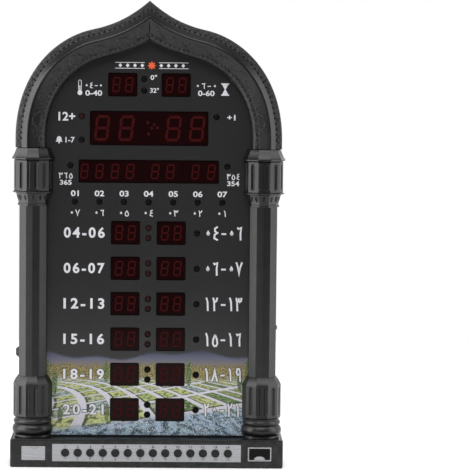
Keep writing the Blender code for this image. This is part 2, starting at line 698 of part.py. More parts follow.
def column(name, side, surface):
    """A half column against the frame: fluted foot, eight-sided shaft and a fluted capital."""
    centre = (side * COLUMN_X, TRIM_BACK_Y - COLUMN_AXIS_SETBACK, 0)
    half, flat = SHAFT_WIDTH / 2, SHAFT_FRONT_WIDTH / 2
    crest_y = TRIM_BACK_Y - SHAFT_FRONT_DEPTH
    flat_y = crest_y + SHAFT_CREST
    chamfer_y = flat_y + half - flat
    outline = [(-half, TRIM_BACK_Y), (-half, chamfer_y), (-flat, flat_y), (0, crest_y),
               (flat, flat_y), (half, chamfer_y), (half, TRIM_BACK_Y)]
    shaft = prism(name, [(centre[0] + x, y) for x, y in outline],
                  SHAFT_BOTTOM_Z - SHAFT_OVERLAP, SHAFT_TOP_Z + SHAFT_OVERLAP)
    foot_profile = [(0, SHAFT_BOTTOM_Z)]
    foot_profile += [(DRUM_RADIUS - (DRUM_RADIUS - SHOULDER_TOP_RADIUS) * math.cos(math.pi / 2 * step / 4),
                      SHAFT_BOTTOM_Z + (BASE_DRUM_TOP_Z - SHAFT_BOTTOM_Z) * math.sin(math.pi / 2 * step / 4))
                     for step in range(5)]
    foot_profile += [(DRUM_RADIUS, BASE_DRUM_BOTTOM_Z)]
    foot_profile += [(GROOVE_RADIUS, BASE_DRUM_BOTTOM_Z - CAPITAL_FLARE_EDGE)]
    foot_profile += bulge(GROOVE_RADIUS, SMALL_TORUS_RADIUS, SMALL_TORUS_TOP_Z, SMALL_TORUS_BOTTOM_Z)[:-1]
    foot_profile += bulge(GROOVE_RADIUS, BIG_TORUS_RADIUS, SMALL_TORUS_BOTTOM_Z, BIG_TORUS_BOTTOM_Z)
    foot_profile += [(FOOT_RADIUS, BODY_BOTTOM_Z), (0, BODY_BOTTOM_Z)]
    foot = turned(f"{name}_foot", foot_profile, COLUMN_SIDES, place=centre)
    capital_profile = [(0, CAPITAL_TOP_Z), (CAPITAL_TOP_RADIUS, CAPITAL_TOP_Z)]
    capital_profile += [(CAPITAL_FLARE_RADIUS, CAPITAL_FLARE_Z)]
    capital_profile += [(CAPITAL_FLARE_RADIUS, CAPITAL_FLARE_Z - CAPITAL_FLARE_EDGE)]
    capital_profile += [(DRUM_RADIUS, CAPITAL_DRUM_TOP_Z), (DRUM_RADIUS, CAPITAL_DRUM_BOTTOM_Z)]
    capital_profile += [(CAPITAL_RING_RADIUS, CAPITAL_DRUM_BOTTOM_Z)]
    capital_profile += [(CAPITAL_RING_RADIUS, CAPITAL_RING_BOTTOM_Z)]
    capital_profile += hollow(BELL_TOP_RADIUS, BELL_BOTTOM_RADIUS, BELL_TOP_Z, BELL_BOTTOM_Z)
    capital_profile += [(NECK_RING_RADIUS, BELL_BOTTOM_Z)]
    capital_profile += [(NECK_RING_RADIUS, BELL_BOTTOM_Z - NECK_RING_HEIGHT)]
    capital_profile += [(0, BELL_BOTTOM_Z - NECK_RING_HEIGHT)]
    capital = turned(f"{name}_capital", capital_profile, COLUMN_SIDES, place=centre)
    fuse(shaft, foot, capital)
    reach = CAPITAL_FLARE_RADIUS + OVERRUN
    behind = box("behind", (centre[0] - reach, TRIM_BACK_Y, BODY_BOTTOM_Z - OVERRUN),
                 (centre[0] + reach, TRIM_BACK_Y + reach, CAPITAL_TOP_Z + OVERRUN))
    cut(shaft, behind)
    flutes = flute_cutters(centre[0], centre[1], BASE_DRUM_BOTTOM_Z, BASE_DRUM_TOP_Z)
    flutes += flute_cutters(centre[0], centre[1], CAPITAL_DRUM_BOTTOM_Z, CAPITAL_DRUM_TOP_Z)
    cut(shaft, *flutes)
    return finish(shaft, surface)


def front_frame(surface):
    """The ring that the arch, the columns and the panel are fixed to, with the screw bosses behind it."""
    outer = arch_outline(BODY_INSET, BODY_BOTTOM_Z)
    ledge_inset = ARCH_BAND - PANEL_TUCK + PANEL_LEDGE
    ledge = arch_outline(ledge_inset, BODY_BOTTOM_Z + LEDGE_BOTTOM_RAIL)
    piece = plate("front_frame", [outer, ledge], PANEL_Y, FRAME_BACK_Y)
    seat_inset = ARCH_BAND - PANEL_TUCK - CLEARANCE
    seat = plate("seat", [arch_outline(seat_inset, BODY_BOTTOM_Z + PANEL_BOTTOM_RAIL)],
                 PANEL_Y - OVERRUN, PANEL_BACK_Y + CLEARANCE)
    cut(piece, seat)
    bosses = [rod("boss", (x, FRAME_BACK_Y - OVERRUN, z), (x, FRAME_BACK_Y + FRAME_BOSS_LENGTH, z),
                  FRAME_BOSS_DIAMETER / 2) for _, x, z in screw_places()]
    posts = [rod("post", (x, FRAME_BACK_Y - OVERRUN, z), (x, DISPLAY_BOARD_Y - CLEARANCE, z),
                 BOARD_POST_DIAMETER / 2, sides=10) for x, z in board_post_places()]
    fuse(piece, *bosses, *posts)
    bore = SCREW_SHANK_DIAMETER / 2 + CLEARANCE
    pilot_end_y = FRAME_BACK_Y + FRAME_BOSS_LENGTH + OVERRUN
    pilots = [rod("pilot", (x, FRAME_BACK_Y + CLEARANCE, z), (x, pilot_end_y, z), bore, sides=10)
              for _, x, z in screw_places()]
    cut(piece, *pilots)
    return finish(piece, surface)


def display_panel(surface):
    """The flat sheet with a window for every display and a hole for every lamp."""
    bottom_z = BODY_BOTTOM_Z + PANEL_BOTTOM_RAIL + CLEARANCE
    outlines = [arch_outline(ARCH_BAND - PANEL_TUCK, bottom_z)]
    outlines += [rounded_window(x, z, width, height) for _, x, z, width, height in window_places()]
    outlines.append(rounded_window(0, DATE_WINDOW_Z, DATE_WINDOW_WIDTH, DATE_WINDOW_HEIGHT))
    outlines += [round_hole(x, z, LAMP_RADIUS + LAMP_GAP, LAMP_SIDES) for x, z in lamp_places()]
    return finish(plate("display_panel", outlines, PANEL_Y, PANEL_BACK_Y), surface)


def display_module(name, low_x, high_x, centre_z, height, surface):
    """One digit module, a box that stands in its window."""
    piece = box(name, (low_x, DISPLAY_FRONT_Y, centre_z - height / 2),
                (high_x, DISPLAY_FRONT_Y + DISPLAY_DEPTH, centre_z + height / 2))
    return finish(piece, surface, smooth=False)


def display_modules(surface):
    for name, x, z, width, height in window_places():
        display_module(f"{name}_display", x - width / 2 + DISPLAY_GAP, x + width / 2 - DISPLAY_GAP, z,
                       height - 2 * DISPLAY_GAP, surface)
    height = DATE_WINDOW_HEIGHT - 2 * DISPLAY_GAP
    left = -DATE_WINDOW_WIDTH / 2 + DISPLAY_GAP
    right = DATE_WINDOW_WIDTH / 2 - DISPLAY_GAP
    year_end = left + YEAR_WIDTH
    month_end = year_end + DISPLAY_GAP + MONTH_WIDTH
    display_module("year_display", left, year_end, DATE_WINDOW_Z, height, surface)
    display_module("month_display", year_end + DISPLAY_GAP, month_end, DATE_WINDOW_Z, height, surface)
    display_module("day_display", month_end + DISPLAY_GAP, right, DATE_WINDOW_Z, height, surface)


def display_board(surface):
    """The circuit board behind the panel, with the indicator lamps that stand on it."""
    piece = plate("display_board", [arch_outline(DISPLAY_BOARD_INSET, DISPLAY_BOARD_BOTTOM_Z)],
                  DISPLAY_BOARD_Y, DISPLAY_BOARD_Y + BOARD_THICKNESS)
    tip_y = PANEL_Y + LAMP_RECESS
    foot_y = DISPLAY_BOARD_Y + BOARD_THICKNESS / 2
    profile = [(0, foot_y), (LAMP_RADIUS, foot_y), (LAMP_RADIUS, tip_y + LAMP_DOME),
               (LAMP_RADIUS * 0.6, tip_y + LAMP_DOME * 0.2), (0, tip_y)]
    lamps = [turned("lamp", profile, LAMP_SIDES, axis="Y", place=(x, 0, z)) for x, z in lamp_places()]
    fuse(piece, *lamps)
    return finish(piece, surface)


def base_housing(surface):
    """The plinth: a hollow box open below, with a rimmed tray on top."""
    half = BASE_WIDTH / 2
    piece = box("base_housing", (-half, FRONT_Y, 0), (half, BACK_Y, BASE_HEIGHT))
    bevel(piece, BASE_EDGE_RADIUS)
    tray = box("tray", (RIM_WIDTH - half, FRONT_Y + RIM_WIDTH, TRAY_Z),
               (half - RIM_WIDTH, BACK_Y + OVERRUN, BASE_HEIGHT + OVERRUN))
    inside = box("inside", (BASE_WALL - half, BASE_INSIDE_Y, -OVERRUN),
                 (half - BASE_WALL, BACK_Y - BASE_WALL, TRAY_Z - BASE_WALL))
    cut(piece, tray, inside)
    bosses = [rod("boss", (x, BASE_INSIDE_Y - OVERRUN, BUTTON_Z), (x, button_board_y() - CLEARANCE, BUTTON_Z),
                  BOSS_DIAMETER / 2, sides=12) for x in (-board_boss_x(), board_boss_x())]
    fuse(piece, *bosses)
    recesses = [front_recess(0, BUTTON_Z, PLATE_WIDTH, PLATE_HEIGHT)]
    recesses += [front_recess(side * BADGE_X, BADGE_Z, BADGE_WIDTH, BADGE_HEIGHT) for side in (-1, 1)]
    cut(piece, *recesses)
    holes = [rod("hole", (x, FRONT_Y - OVERRUN, BUTTON_Z), (x, BASE_INSIDE_Y + OVERRUN, BUTTON_Z),
                 BUTTON_DIAMETER / 2 + BUTTON_HOLE_GAP) for x in button_places()]
    aperture = lens_outline()
    holes.append(plate("aperture", [aperture], FRONT_Y - OVERRUN, BASE_INSIDE_Y + OVERRUN))
    cut(piece, *holes)
    return finish(piece, surface)


def front_recess(centre_x, centre_z, width, height):
    """The shallow seat of a plate let into the plinth's front."""
    half_x = width / 2 + CLEARANCE
    half_z = height / 2 + CLEARANCE
    return box("recess", (centre_x - half_x, FRONT_Y - OVERRUN, centre_z - half_z),
               (centre_x + half_x, FRONT_Y + FACE_RECESS, centre_z + half_z))


def base_cover(surface):
    """The flat cover that closes the plinth from below."""
    half = BASE_WIDTH / 2 - BASE_WALL - CLEARANCE
    piece = box("base_cover", (-half, BASE_INSIDE_Y + CLEARANCE, 0),
                (half, BACK_Y - BASE_WALL - CLEARANCE, BASE_COVER_THICKNESS))
    return finish(piece, surface, smooth=False)


def face_plate_span(thickness):
    """Front and back of a plate that sits in its recess."""
    back = FRONT_Y + FACE_RECESS - CLEARANCE
    return back - thickness, back


def button_plate(surface):
    outline = rounded_window(0, BUTTON_Z, PLATE_WIDTH, PLATE_HEIGHT, radius=CLEARANCE)
    holes = [round_hole(x, BUTTON_Z, BUTTON_DIAMETER / 2 + BUTTON_HOLE_GAP, 16) for x in button_places()]
    return finish(plate("button_plate", [outline] + holes, *face_plate_span(PLATE_THICKNESS)), surface)


def badge_plate(surface):
    """The bare plate in the plinth's left end."""
    outline = rounded_window(-BADGE_X, BADGE_Z, BADGE_WIDTH, BADGE_HEIGHT, radius=CLEARANCE)
    return finish(plate("badge_plate", [outline], *face_plate_span(BADGE_THICKNESS)), surface)


def lens_outline(margin=0):
    border = 2 * (WINDOW_FRAME_BORDER + margin)
    return rounded_window(BADGE_X, BADGE_Z, BADGE_WIDTH - border, BADGE_HEIGHT - border, radius=CLEARANCE)


def receiver_window(frame_surface, lens_surface):
    """The dark window in the plinth's right end and the frame round it."""
    outline = rounded_window(BADGE_X, BADGE_Z, BADGE_WIDTH, BADGE_HEIGHT, radius=CLEARANCE)
    front, back = face_plate_span(BADGE_THICKNESS)
    finish(plate("window_frame", [outline, lens_outline()], front, back), frame_surface)
    lens = plate("window_lens", [lens_outline(CLEARANCE)], front, front + WINDOW_LENS_THICKNESS)
    return finish(lens, lens_surface)


def button_back_y():
    return BASE_INSIDE_Y + CLEARANCE + BUTTON_FLANGE_THICKNESS + BUTTON_STEM_LENGTH


def button_board_y():
    return button_back_y() + TACT_GAP + TACT_PLUNGER_LENGTH + TACT_HEIGHT


def board_boss_x():
    return PLATE_WIDTH / 2


def buttons(surface):
    """Fourteen round keys, each held behind the wall by its flange and pushed in along Y."""
    flange_front = BASE_INSIDE_Y + CLEARANCE
    flange_back = flange_front + BUTTON_FLANGE_THICKNESS
    front = FRONT_Y - BUTTON_PROUD
    radius = BUTTON_DIAMETER / 2
    profile = [(0, button_back_y()), (BUTTON_STEM_DIAMETER / 2, button_back_y()),
               (BUTTON_STEM_DIAMETER / 2, flange_back), (BUTTON_FLANGE_DIAMETER / 2, flange_back),
               (BUTTON_FLANGE_DIAMETER / 2, flange_front), (radius, flange_front),
               (radius, front + BUTTON_EDGE), (radius - BUTTON_EDGE, front), (0, front)]
    for number, x in enumerate(button_places(), start=1):
        place = (x, 0, BUTTON_Z)
        finish(turned(f"button_{number:02d}", profile, BUTTON_SIDES, axis="Y", place=place), surface)


def button_board(surface):
    """The key board: one tactile switch behind every key."""
    back = button_board_y()
    reach = BADGE_X + BADGE_WIDTH / 2 - BUTTON_BOARD_SIDE_MARGIN
    piece = box("button_board", (-reach, back, BUTTON_Z - BUTTON_BOARD_HEIGHT / 2),
                (reach, back + BOARD_THICKNESS, BUTTON_Z + BUTTON_BOARD_HEIGHT / 2))
    bodies = [box("tact", (x - TACT_SIZE / 2, back - TACT_HEIGHT, BUTTON_Z - TACT_SIZE / 2),
                  (x + TACT_SIZE / 2, back + BOARD_THICKNESS / 2, BUTTON_Z + TACT_SIZE / 2))
              for x in button_places()]
    fuse(piece, *bodies)
    plungers = [rod("plunger", (x, back - TACT_HEIGHT - TACT_PLUNGER_LENGTH, BUTTON_Z),
                    (x, back - TACT_HEIGHT / 2, BUTTON_Z), TACT_PLUNGER_DIAMETER / 2, sides=8)
                for x in button_places()]
    fuse(piece, *plungers)
    return finish(piece, surface)


def remote_receiver(surface):
    """The infrared receiver, on the key board behind the window."""
    x = BADGE_X - RECEIVER_WIDTH / 2
    back = button_board_y() - CLEARANCE
    piece = box("remote_receiver", (x, back - RECEIVER_DEPTH, BADGE_Z - RECEIVER_HEIGHT / 2),
                (x + RECEIVER_WIDTH, back, BADGE_Z + RECEIVER_HEIGHT / 2))
    eye = turned("eye", [(0, back - RECEIVER_DEPTH / 2), (RECEIVER_WIDTH / 3, back - RECEIVER_DEPTH / 2),
                         (RECEIVER_WIDTH / 3, back - RECEIVER_DEPTH - CLEARANCE),
                         (RECEIVER_WIDTH / 5, back - RECEIVER_DEPTH - OVERRUN),
                         (0, back - RECEIVER_DEPTH - OVERRUN - CLEARANCE)],
                 12, axis="Y", place=(x + RECEIVER_WIDTH / 2, 0, BADGE_Z))
    fuse(piece, eye)
    return finish(piece, surface)


def keyhole_cutters():
    """Two hanging keyholes: a round hole for the screw's head with a slot above it."""
    cutters = []
    front, back = COVER_INSIDE_Y - OVERRUN, BACK_Y + OVERRUN
    for side in (-1, 1):
        x = side * KEYHOLE_X
        outline = [Vector((x - KEYHOLE_SLOT_WIDTH / 2, KEYHOLE_Z + KEYHOLE_SLOT_LENGTH)),
                   Vector((x + KEYHOLE_SLOT_WIDTH / 2, KEYHOLE_Z + KEYHOLE_SLOT_LENGTH))]
        entry = math.asin(KEYHOLE_SLOT_WIDTH / 2 / KEYHOLE_HEAD_RADIUS)
        sweep = math.tau - 2 * entry
        for step in range(13):
            turn = math.radians(90) - entry - sweep * step / 12
            outline.append(Vector((x + KEYHOLE_HEAD_RADIUS * math.cos(turn),
                                   KEYHOLE_Z + KEYHOLE_HEAD_RADIUS * math.sin(turn))))
        cutters.append(plate("keyhole", [outline], front, back))
    return cutters


def grille_cutters():
    """Sound slots across the loudspeaker, each as long as the round grille is wide there."""
    cutters = []
    middle = (GRILLE_SLOT_COUNT - 1) / 2
    for slot in range(GRILLE_SLOT_COUNT):
        drop = (slot - middle) * GRILLE_SLOT_PITCH
        half = math.sqrt(SPEAKER_CONE_RADIUS ** 2 - drop ** 2)
        low_z = SPEAKER_Z + drop - GRILLE_SLOT_HEIGHT / 2
        cutters.append(box("slot", (-half, COVER_INSIDE_Y - OVERRUN, low_z),
                           (half, BACK_Y + OVERRUN, low_z + GRILLE_SLOT_HEIGHT)))
    return cutters


def side_cutters():
    """Holes in the cover's sides for the knob's shaft, the switch and the power inlet."""
    shaft = rod("shaft_hole", (-BODY_HALF_WIDTH - OVERRUN, SIDE_CONTROL_Y, KNOB_Z),
                (-SIDE_INSIDE_X + OVERRUN, SIDE_CONTROL_Y, KNOB_Z), KNOB_SHAFT_DIAMETER / 2 + CLEARANCE)
    half = SWITCH_LEVER_HEIGHT / 2 + CLEARANCE
    width = SWITCH_LEVER_WIDTH / 2 + CLEARANCE
    slot = box("switch_slot", (SIDE_INSIDE_X - OVERRUN, SIDE_CONTROL_Y - width, SWITCH_Z - half),
               (BODY_HALF_WIDTH + OVERRUN, SIDE_CONTROL_Y + width, SWITCH_Z + half + SWITCH_TRAVEL))
    mouth = rod("jack_mouth", (SIDE_INSIDE_X - OVERRUN, SIDE_CONTROL_Y, JACK_Z),
                (BODY_HALF_WIDTH + OVERRUN, SIDE_CONTROL_Y, JACK_Z), JACK_MOUTH_RADIUS)
    return [shaft, slot, mouth]


def rear_cover(surface):
    """The deep back shell, with its screw bosses, board posts, battery bay, grille and keyholes."""
    piece = plate("rear_cover", [arch_outline(BODY_INSET, BODY_BOTTOM_Z)], COVER_FRONT_Y, BACK_Y)
    inside = plate("inside", [arch_outline(BODY_INSET + COVER_WALL, BODY_BOTTOM_Z + COVER_WALL)],
                   COVER_FRONT_Y - OVERRUN, COVER_INSIDE_Y)
    cut(piece, inside)
    wall_y = COVER_INSIDE_Y + OVERRUN
    bosses = [rod("boss", (x, COVER_BOSS_FRONT_Y, z), (x, wall_y, z), SCREW_BOSS_DIAMETER / 2)
              for _, x, z in screw_places()]
    posts = [rod("post", (x, control_board_y() + BOARD_THICKNESS + CLEARANCE, z), (x, wall_y, z),
                 BOSS_DIAMETER / 2, sides=10) for x, z in control_post_places()]
    bay_half = BAY_SIZE / 2 + BAY_WALL
    bay = box("bay", (BAY_X - bay_half, BACK_Y - BAY_DEPTH - BAY_WALL, BAY_Z - bay_half),
              (BAY_X + bay_half, wall_y, BAY_Z + bay_half))
    rib_x = SPEAKER_RADIUS + CLEARANCE
    rib_y = COVER_INSIDE_Y - SPEAKER_RIB_HEIGHT
    ribs = [box("rib", (low_x, rib_y, SPEAKER_Z - SPEAKER_MAGNET_RADIUS),
                (low_x + SPEAKER_RIB_THICKNESS, wall_y, SPEAKER_Z + SPEAKER_MAGNET_RADIUS))
            for low_x in (-rib_x - SPEAKER_RIB_THICKNESS, rib_x)]
    fuse(piece, *bosses, *posts, bay, *ribs)
    pocket = box("pocket", (BAY_X - BAY_SIZE / 2, BACK_Y - BAY_DEPTH, BAY_Z - BAY_SIZE / 2),
                 (BAY_X + BAY_SIZE / 2, BACK_Y + OVERRUN, BAY_Z + BAY_SIZE / 2))
    seat_y = COVER_BOSS_FRONT_Y + SCREW_SEAT
    head_wells = [rod("well", (x, seat_y, z), (x, BACK_Y + OVERRUN, z), SCREW_HEAD_DIAMETER / 2 + CLEARANCE)
                  for _, x, z in screw_places()]
    cut(piece, pocket, *head_wells, *keyhole_cutters(), *grille_cutters(), *side_cutters())
    shank_holes = [rod("shank_hole", (x, COVER_BOSS_FRONT_Y - OVERRUN, z), (x, seat_y + OVERRUN, z),
                       SCREW_SHANK_DIAMETER / 2 + CLEARANCE, sides=10) for _, x, z in screw_places()]
    lip = BAY_SIZE / 2 + DOOR_LIP
    door_seat = box("door_seat", (BAY_X - lip, door_inner_y() - CLEARANCE, BAY_Z - lip),
                    (BAY_X + lip, BACK_Y + OVERRUN, BAY_Z + lip))
    cut(piece, *shank_holes, door_seat)
    return finish(piece, surface)


def door_inner_y():
    return BACK_Y - DOOR_SUNK - DOOR_THICKNESS


def battery_door(surface):
    """The battery lid; its lower outer edge is its hinge."""
    half = BAY_SIZE / 2 + DOOR_LIP - CLEARANCE
    outer_y = BACK_Y - DOOR_SUNK
    piece = box("battery_door", (BAY_X - half, door_inner_y(), BAY_Z - half),
                (BAY_X + half, outer_y, BAY_Z + half))
    grip = box("grip", (BAY_X - DOOR_GRIP_WIDTH / 2, outer_y - DOOR_GRIP_DEPTH, BAY_Z + half - DOOR_LIP),
               (BAY_X + DOOR_GRIP_WIDTH / 2, BACK_Y + OVERRUN, BAY_Z + half + OVERRUN))
    cut(piece, grip)
    return finish(piece, surface, smooth=False)


def backup_battery(surface):
    """The coin cell on the bay's floor."""
    low = BACK_Y - BAY_DEPTH + CLEARANCE
    high = low + CELL_THICKNESS
    radius = CELL_DIAMETER / 2
    profile = [(0, high), (radius - CELL_EDGE, high), (radius, high - CELL_EDGE), (radius, low + CELL_EDGE),
               (radius - CELL_EDGE, low), (0, low)]
    return finish(turned("backup_battery", profile, 24, axis="Y", place=(BAY_X, 0, BAY_Z)), surface)


def cover_screws(surface):
    seat_y = COVER_BOSS_FRONT_Y + SCREW_SEAT + CLEARANCE
    head_y = seat_y + SCREW_HEAD_HEIGHT
    head = SCREW_HEAD_DIAMETER / 2
    shank = SCREW_SHANK_DIAMETER / 2
    profile = [(0, head_y), (head * 0.7, head_y), (head, head_y - SCREW_HEAD_HEIGHT / 2), (head, seat_y),
               (shank, seat_y), (shank, seat_y - SCREW_LENGTH), (0, seat_y - SCREW_LENGTH)]
    for name, x, z in screw_places():
        finish(turned(name, profile, 12, axis="Y", place=(x, 0, z)), surface)


def control_board_y():
    return COVER_INSIDE_Y - CONTROL_BOARD_SETBACK - BOARD_THICKNESS


def control_post_places():
    across = CONTROL_BOARD_WIDTH / 2 - CONTROL_POST_INSET
    up = CONTROL_BOARD_HEIGHT / 2 - CONTROL_POST_INSET
    return [(side_x * across, CONTROL_BOARD_Z + side_z * up) for side_x in (-1, 1) for side_z in (-1, 1)]


def control_board(surface):
    """The main board, with its chip, capacitors and connectors on the side of the rear cover."""
    front = control_board_y()
    back = front + BOARD_THICKNESS
    half_x = CONTROL_BOARD_WIDTH / 2
    half_z = CONTROL_BOARD_HEIGHT / 2
    piece = box("control_board", (-half_x, front, CONTROL_BOARD_Z - half_z),
                (half_x, back, CONTROL_BOARD_Z + half_z))
    middle = back - BOARD_THICKNESS / 2
    parts = [box("chip", (-CHIP_SIZE / 2, middle, CONTROL_BOARD_Z - CHIP_SIZE / 2),
                 (CHIP_SIZE / 2, back + CHIP_HEIGHT, CONTROL_BOARD_Z + CHIP_SIZE / 2))]
    for side in (-1, 1):
        z = CONTROL_BOARD_Z + side * (half_z - CONNECTOR_HEIGHT)
        parts.append(box("connector", (-CONNECTOR_WIDTH / 2, middle, z - CONNECTOR_HEIGHT / 2),
                         (CONNECTOR_WIDTH / 2, back + CONNECTOR_HEIGHT, z + CONNECTOR_HEIGHT / 2)))
    for place in range(CAPACITOR_COUNT):
        x = half_x / 2 + CAPACITOR_DIAMETER / 2
        z = CONTROL_BOARD_Z + (place - (CAPACITOR_COUNT - 1) / 2) * CAPACITOR_PITCH
        parts.append(rod("capacitor", (x, middle, z), (x, back + CAPACITOR_HEIGHT, z), CAPACITOR_DIAMETER / 2,
                         sides=12))
    fuse(piece, *parts)
    return finish(piece, surface)


def speaker(surface):
    """The round loudspeaker behind the grille: magnet, basket, rim and cone."""
    rim_back_y = SPEAKER_RIM_Y - SPEAKER_RIM_THICKNESS
    cap_y = SPEAKER_CONE_Y + SPEAKER_RIM_THICKNESS
    profile = [(0, cap_y), (SPEAKER_CAP_RADIUS / 2, (cap_y + SPEAKER_CONE_Y) / 2),
               (SPEAKER_CAP_RADIUS, SPEAKER_CONE_Y), (SPEAKER_CONE_RADIUS, SPEAKER_RIM_Y),
               (SPEAKER_RADIUS, SPEAKER_RIM_Y), (SPEAKER_RADIUS, rim_back_y),
               (SPEAKER_CONE_RADIUS, rim_back_y), (SPEAKER_MAGNET_RADIUS, SPEAKER_BASKET_Y),
               (SPEAKER_MAGNET_RADIUS, SPEAKER_BACK_Y), (0, SPEAKER_BACK_Y)]
    return finish(turned("speaker", profile, 28, axis="Y", place=(0, 0, SPEAKER_Z)), surface)


def dc_jack(surface):
    """The power inlet: a block with a round bore and its centre pin, against the right side wall."""
    face_x = SIDE_INSIDE_X - CLEARANCE
    half = JACK_WIDTH / 2
    piece = box("dc_jack", (face_x - JACK_LENGTH, SIDE_CONTROL_Y - half, JACK_Z - half),
                (face_x, SIDE_CONTROL_Y + half, JACK_Z + half))
    floor_x = face_x - JACK_BORE_DEPTH
    cut(piece, rod("bore", (floor_x, SIDE_CONTROL_Y, JACK_Z), (face_x + OVERRUN, SIDE_CONTROL_Y, JACK_Z),
                   JACK_BORE_RADIUS))
    fuse(piece, rod("pin", (floor_x - OVERRUN, SIDE_CONTROL_Y, JACK_Z),
                    (floor_x + JACK_PIN_LENGTH, SIDE_CONTROL_Y, JACK_Z), JACK_PIN_RADIUS, sides=10))
    return finish(piece, surface)


def volume_knob(surface):
    """The low grooved knob on the left side and its shaft, turning about X."""
    base_x = BODY_HALF_WIDTH + CLEARANCE
    tip_x = base_x + KNOB_HEIGHT
    radius, shaft = KNOB_DIAMETER / 2, KNOB_SHAFT_DIAMETER / 2
    end_x = base_x - KNOB_SHAFT_LENGTH
    profile = [(0, -end_x), (shaft, -end_x), (shaft, -base_x), (radius, -base_x),
               (radius, -base_x - KNOB_HEIGHT / 4), (KNOB_TIP_DIAMETER / 2, -tip_x), (0, -tip_x)]
    piece = turned("volume_knob", profile, 24, axis="X", place=(0, SIDE_CONTROL_Y, KNOB_Z))
    grooves = []
    for groove in range(KNOB_GROOVES):
        turn = math.tau * groove / KNOB_GROOVES
        y = SIDE_CONTROL_Y + radius * math.cos(turn)
        z = KNOB_Z + radius * math.sin(turn)
        grooves.append(rod("groove", (-tip_x - OVERRUN, y, z), (-base_x + OVERRUN, y, z), KNOB_GROOVE_RADIUS,
                           sides=6))
    cut(piece, *grooves)
    return finish(piece, surface)


def volume_control(surface):
    """The potentiometer inside the left wall, with the socket that the knob's shaft turns in."""
    face_x = -SIDE_INSIDE_X + CLEARANCE
    half = VOLUME_CONTROL_SIZE / 2
    piece = box("volume_control", (face_x, SIDE_CONTROL_Y - half, KNOB_Z - half),
                (face_x + VOLUME_CONTROL_DEPTH, SIDE_CONTROL_Y + half, KNOB_Z + half))
    bore = KNOB_SHAFT_DIAMETER / 2 + CLEARANCE
    cut(piece, rod("socket", (face_x - OVERRUN, SIDE_CONTROL_Y, KNOB_Z),
                   (face_x + VOLUME_SOCKET_DEPTH, SIDE_CONTROL_Y, KNOB_Z), bore))
    return finish(piece, surface)


def power_switch(lever_surface, body_surface):
    """The slide switch in the right side: a body inside the wall and the lever that slides up in it."""
    face_x = SIDE_INSIDE_X - CLEARANCE
    half_z = SWITCH_LEVER_HEIGHT / 2
    half_y = SWITCH_LEVER_WIDTH / 2
    tip_x = BODY_HALF_WIDTH + SWITCH_LEVER_PROUD
    inner_x = face_x - SWITCH_POCKET_DEPTH + CLEARANCE
    lever = box("switch_lever", (inner_x, SIDE_CONTROL_Y - half_y, SWITCH_Z - half_z),
                (tip_x, SIDE_CONTROL_Y + half_y, SWITCH_Z + half_z))
    bevel(lever, CLEARANCE, segments=1)
    finish(lever, lever_surface)
    middle_z = SWITCH_Z + SWITCH_TRAVEL / 2
    body = box("switch_body", (face_x - SWITCH_BODY_DEPTH, SIDE_CONTROL_Y - SWITCH_BODY_WIDTH / 2,
                               middle_z - SWITCH_BODY_HEIGHT / 2),
               (face_x, SIDE_CONTROL_Y + SWITCH_BODY_WIDTH / 2, middle_z + SWITCH_BODY_HEIGHT / 2))
    cut(body, box("pocket", (face_x - SWITCH_POCKET_DEPTH, SIDE_CONTROL_Y - half_y - CLEARANCE,
                             SWITCH_Z - half_z - CLEARANCE),
                  (face_x + OVERRUN, SIDE_CONTROL_Y + half_y + CLEARANCE,
                   SWITCH_Z + half_z + SWITCH_TRAVEL + CLEARANCE)))
    return finish(body, body_surface)


def build():
    casing = material("casing", (0.035, 0.035, 0.038), 0.45)
    black = material("black_plastic", (0.02, 0.02, 0.022), 0.4)
    panel = material("panel", (0.035, 0.034, 0.035), 0.35)
    silver = material("silver_plate", (0.45, 0.45, 0.48), 0.4, 0.6)
    lens = material("dark_lens", (0.01, 0.01, 0.012), 0.08)
    digits = material("display_face", (0.02, 0.006, 0.007), 0.2)
    board = material("circuit_board", (0.02, 0.12, 0.05), 0.5)
    steel = material("steel", (0.6, 0.6, 0.6), 0.3, 1.0)
    arch_frame(casing)
    column("column_left", -1, casing)
    column("column_right", 1, casing)
    front_frame(casing)
    display_panel(panel)
    display_modules(digits)
    display_board(board)
    base_housing(casing)
    base_cover(black)
    button_plate(silver)
    badge_plate(silver)
    receiver_window(silver, lens)
    buttons(black)
    button_board(board)
    remote_receiver(black)
    rear_cover(casing)
    battery_door(casing)
    backup_battery(steel)
    cover_screws(steel)
    control_board(board)
    speaker(black)
    dc_jack(black)
    volume_knob(black)
    volume_control(steel)
    power_switch(black, steel)


clear_scene()
PIECES = new_collection("azan_clock")
CUTTERS = new_collection("cutters")
build()
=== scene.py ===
"""Looks of the arched prayer clock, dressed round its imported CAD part.

Laid out as a Blender add-on and run as a script. Lengths are in metres, heights run along Z and the
clock faces -Y. Every operator makes one group of pieces and hangs it on the CAD body that it moves with.
"""

import math

import bmesh
import bpy
from mathutils import Matrix, Vector


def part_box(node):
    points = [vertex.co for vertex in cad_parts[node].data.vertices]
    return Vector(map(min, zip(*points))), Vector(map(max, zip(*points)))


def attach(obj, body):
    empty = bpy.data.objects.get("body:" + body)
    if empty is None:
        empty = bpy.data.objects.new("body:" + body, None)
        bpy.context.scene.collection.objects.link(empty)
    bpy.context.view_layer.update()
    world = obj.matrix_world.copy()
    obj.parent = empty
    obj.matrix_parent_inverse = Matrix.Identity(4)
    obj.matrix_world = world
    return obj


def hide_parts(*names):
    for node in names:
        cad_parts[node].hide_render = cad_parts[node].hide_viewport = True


bl_info = {
    "name": "Arched Prayer Clock Looks",
    "version": (1, 0, 0),
    "blender": (4, 5, 0),
    "location": "View3D > Sidebar > Clock",
    "description": "Dresses the packed clock with finishes, relief, digits and lettering",
    "category": "Object",
}

MM = 0.001
WELD = 0.001 * MM

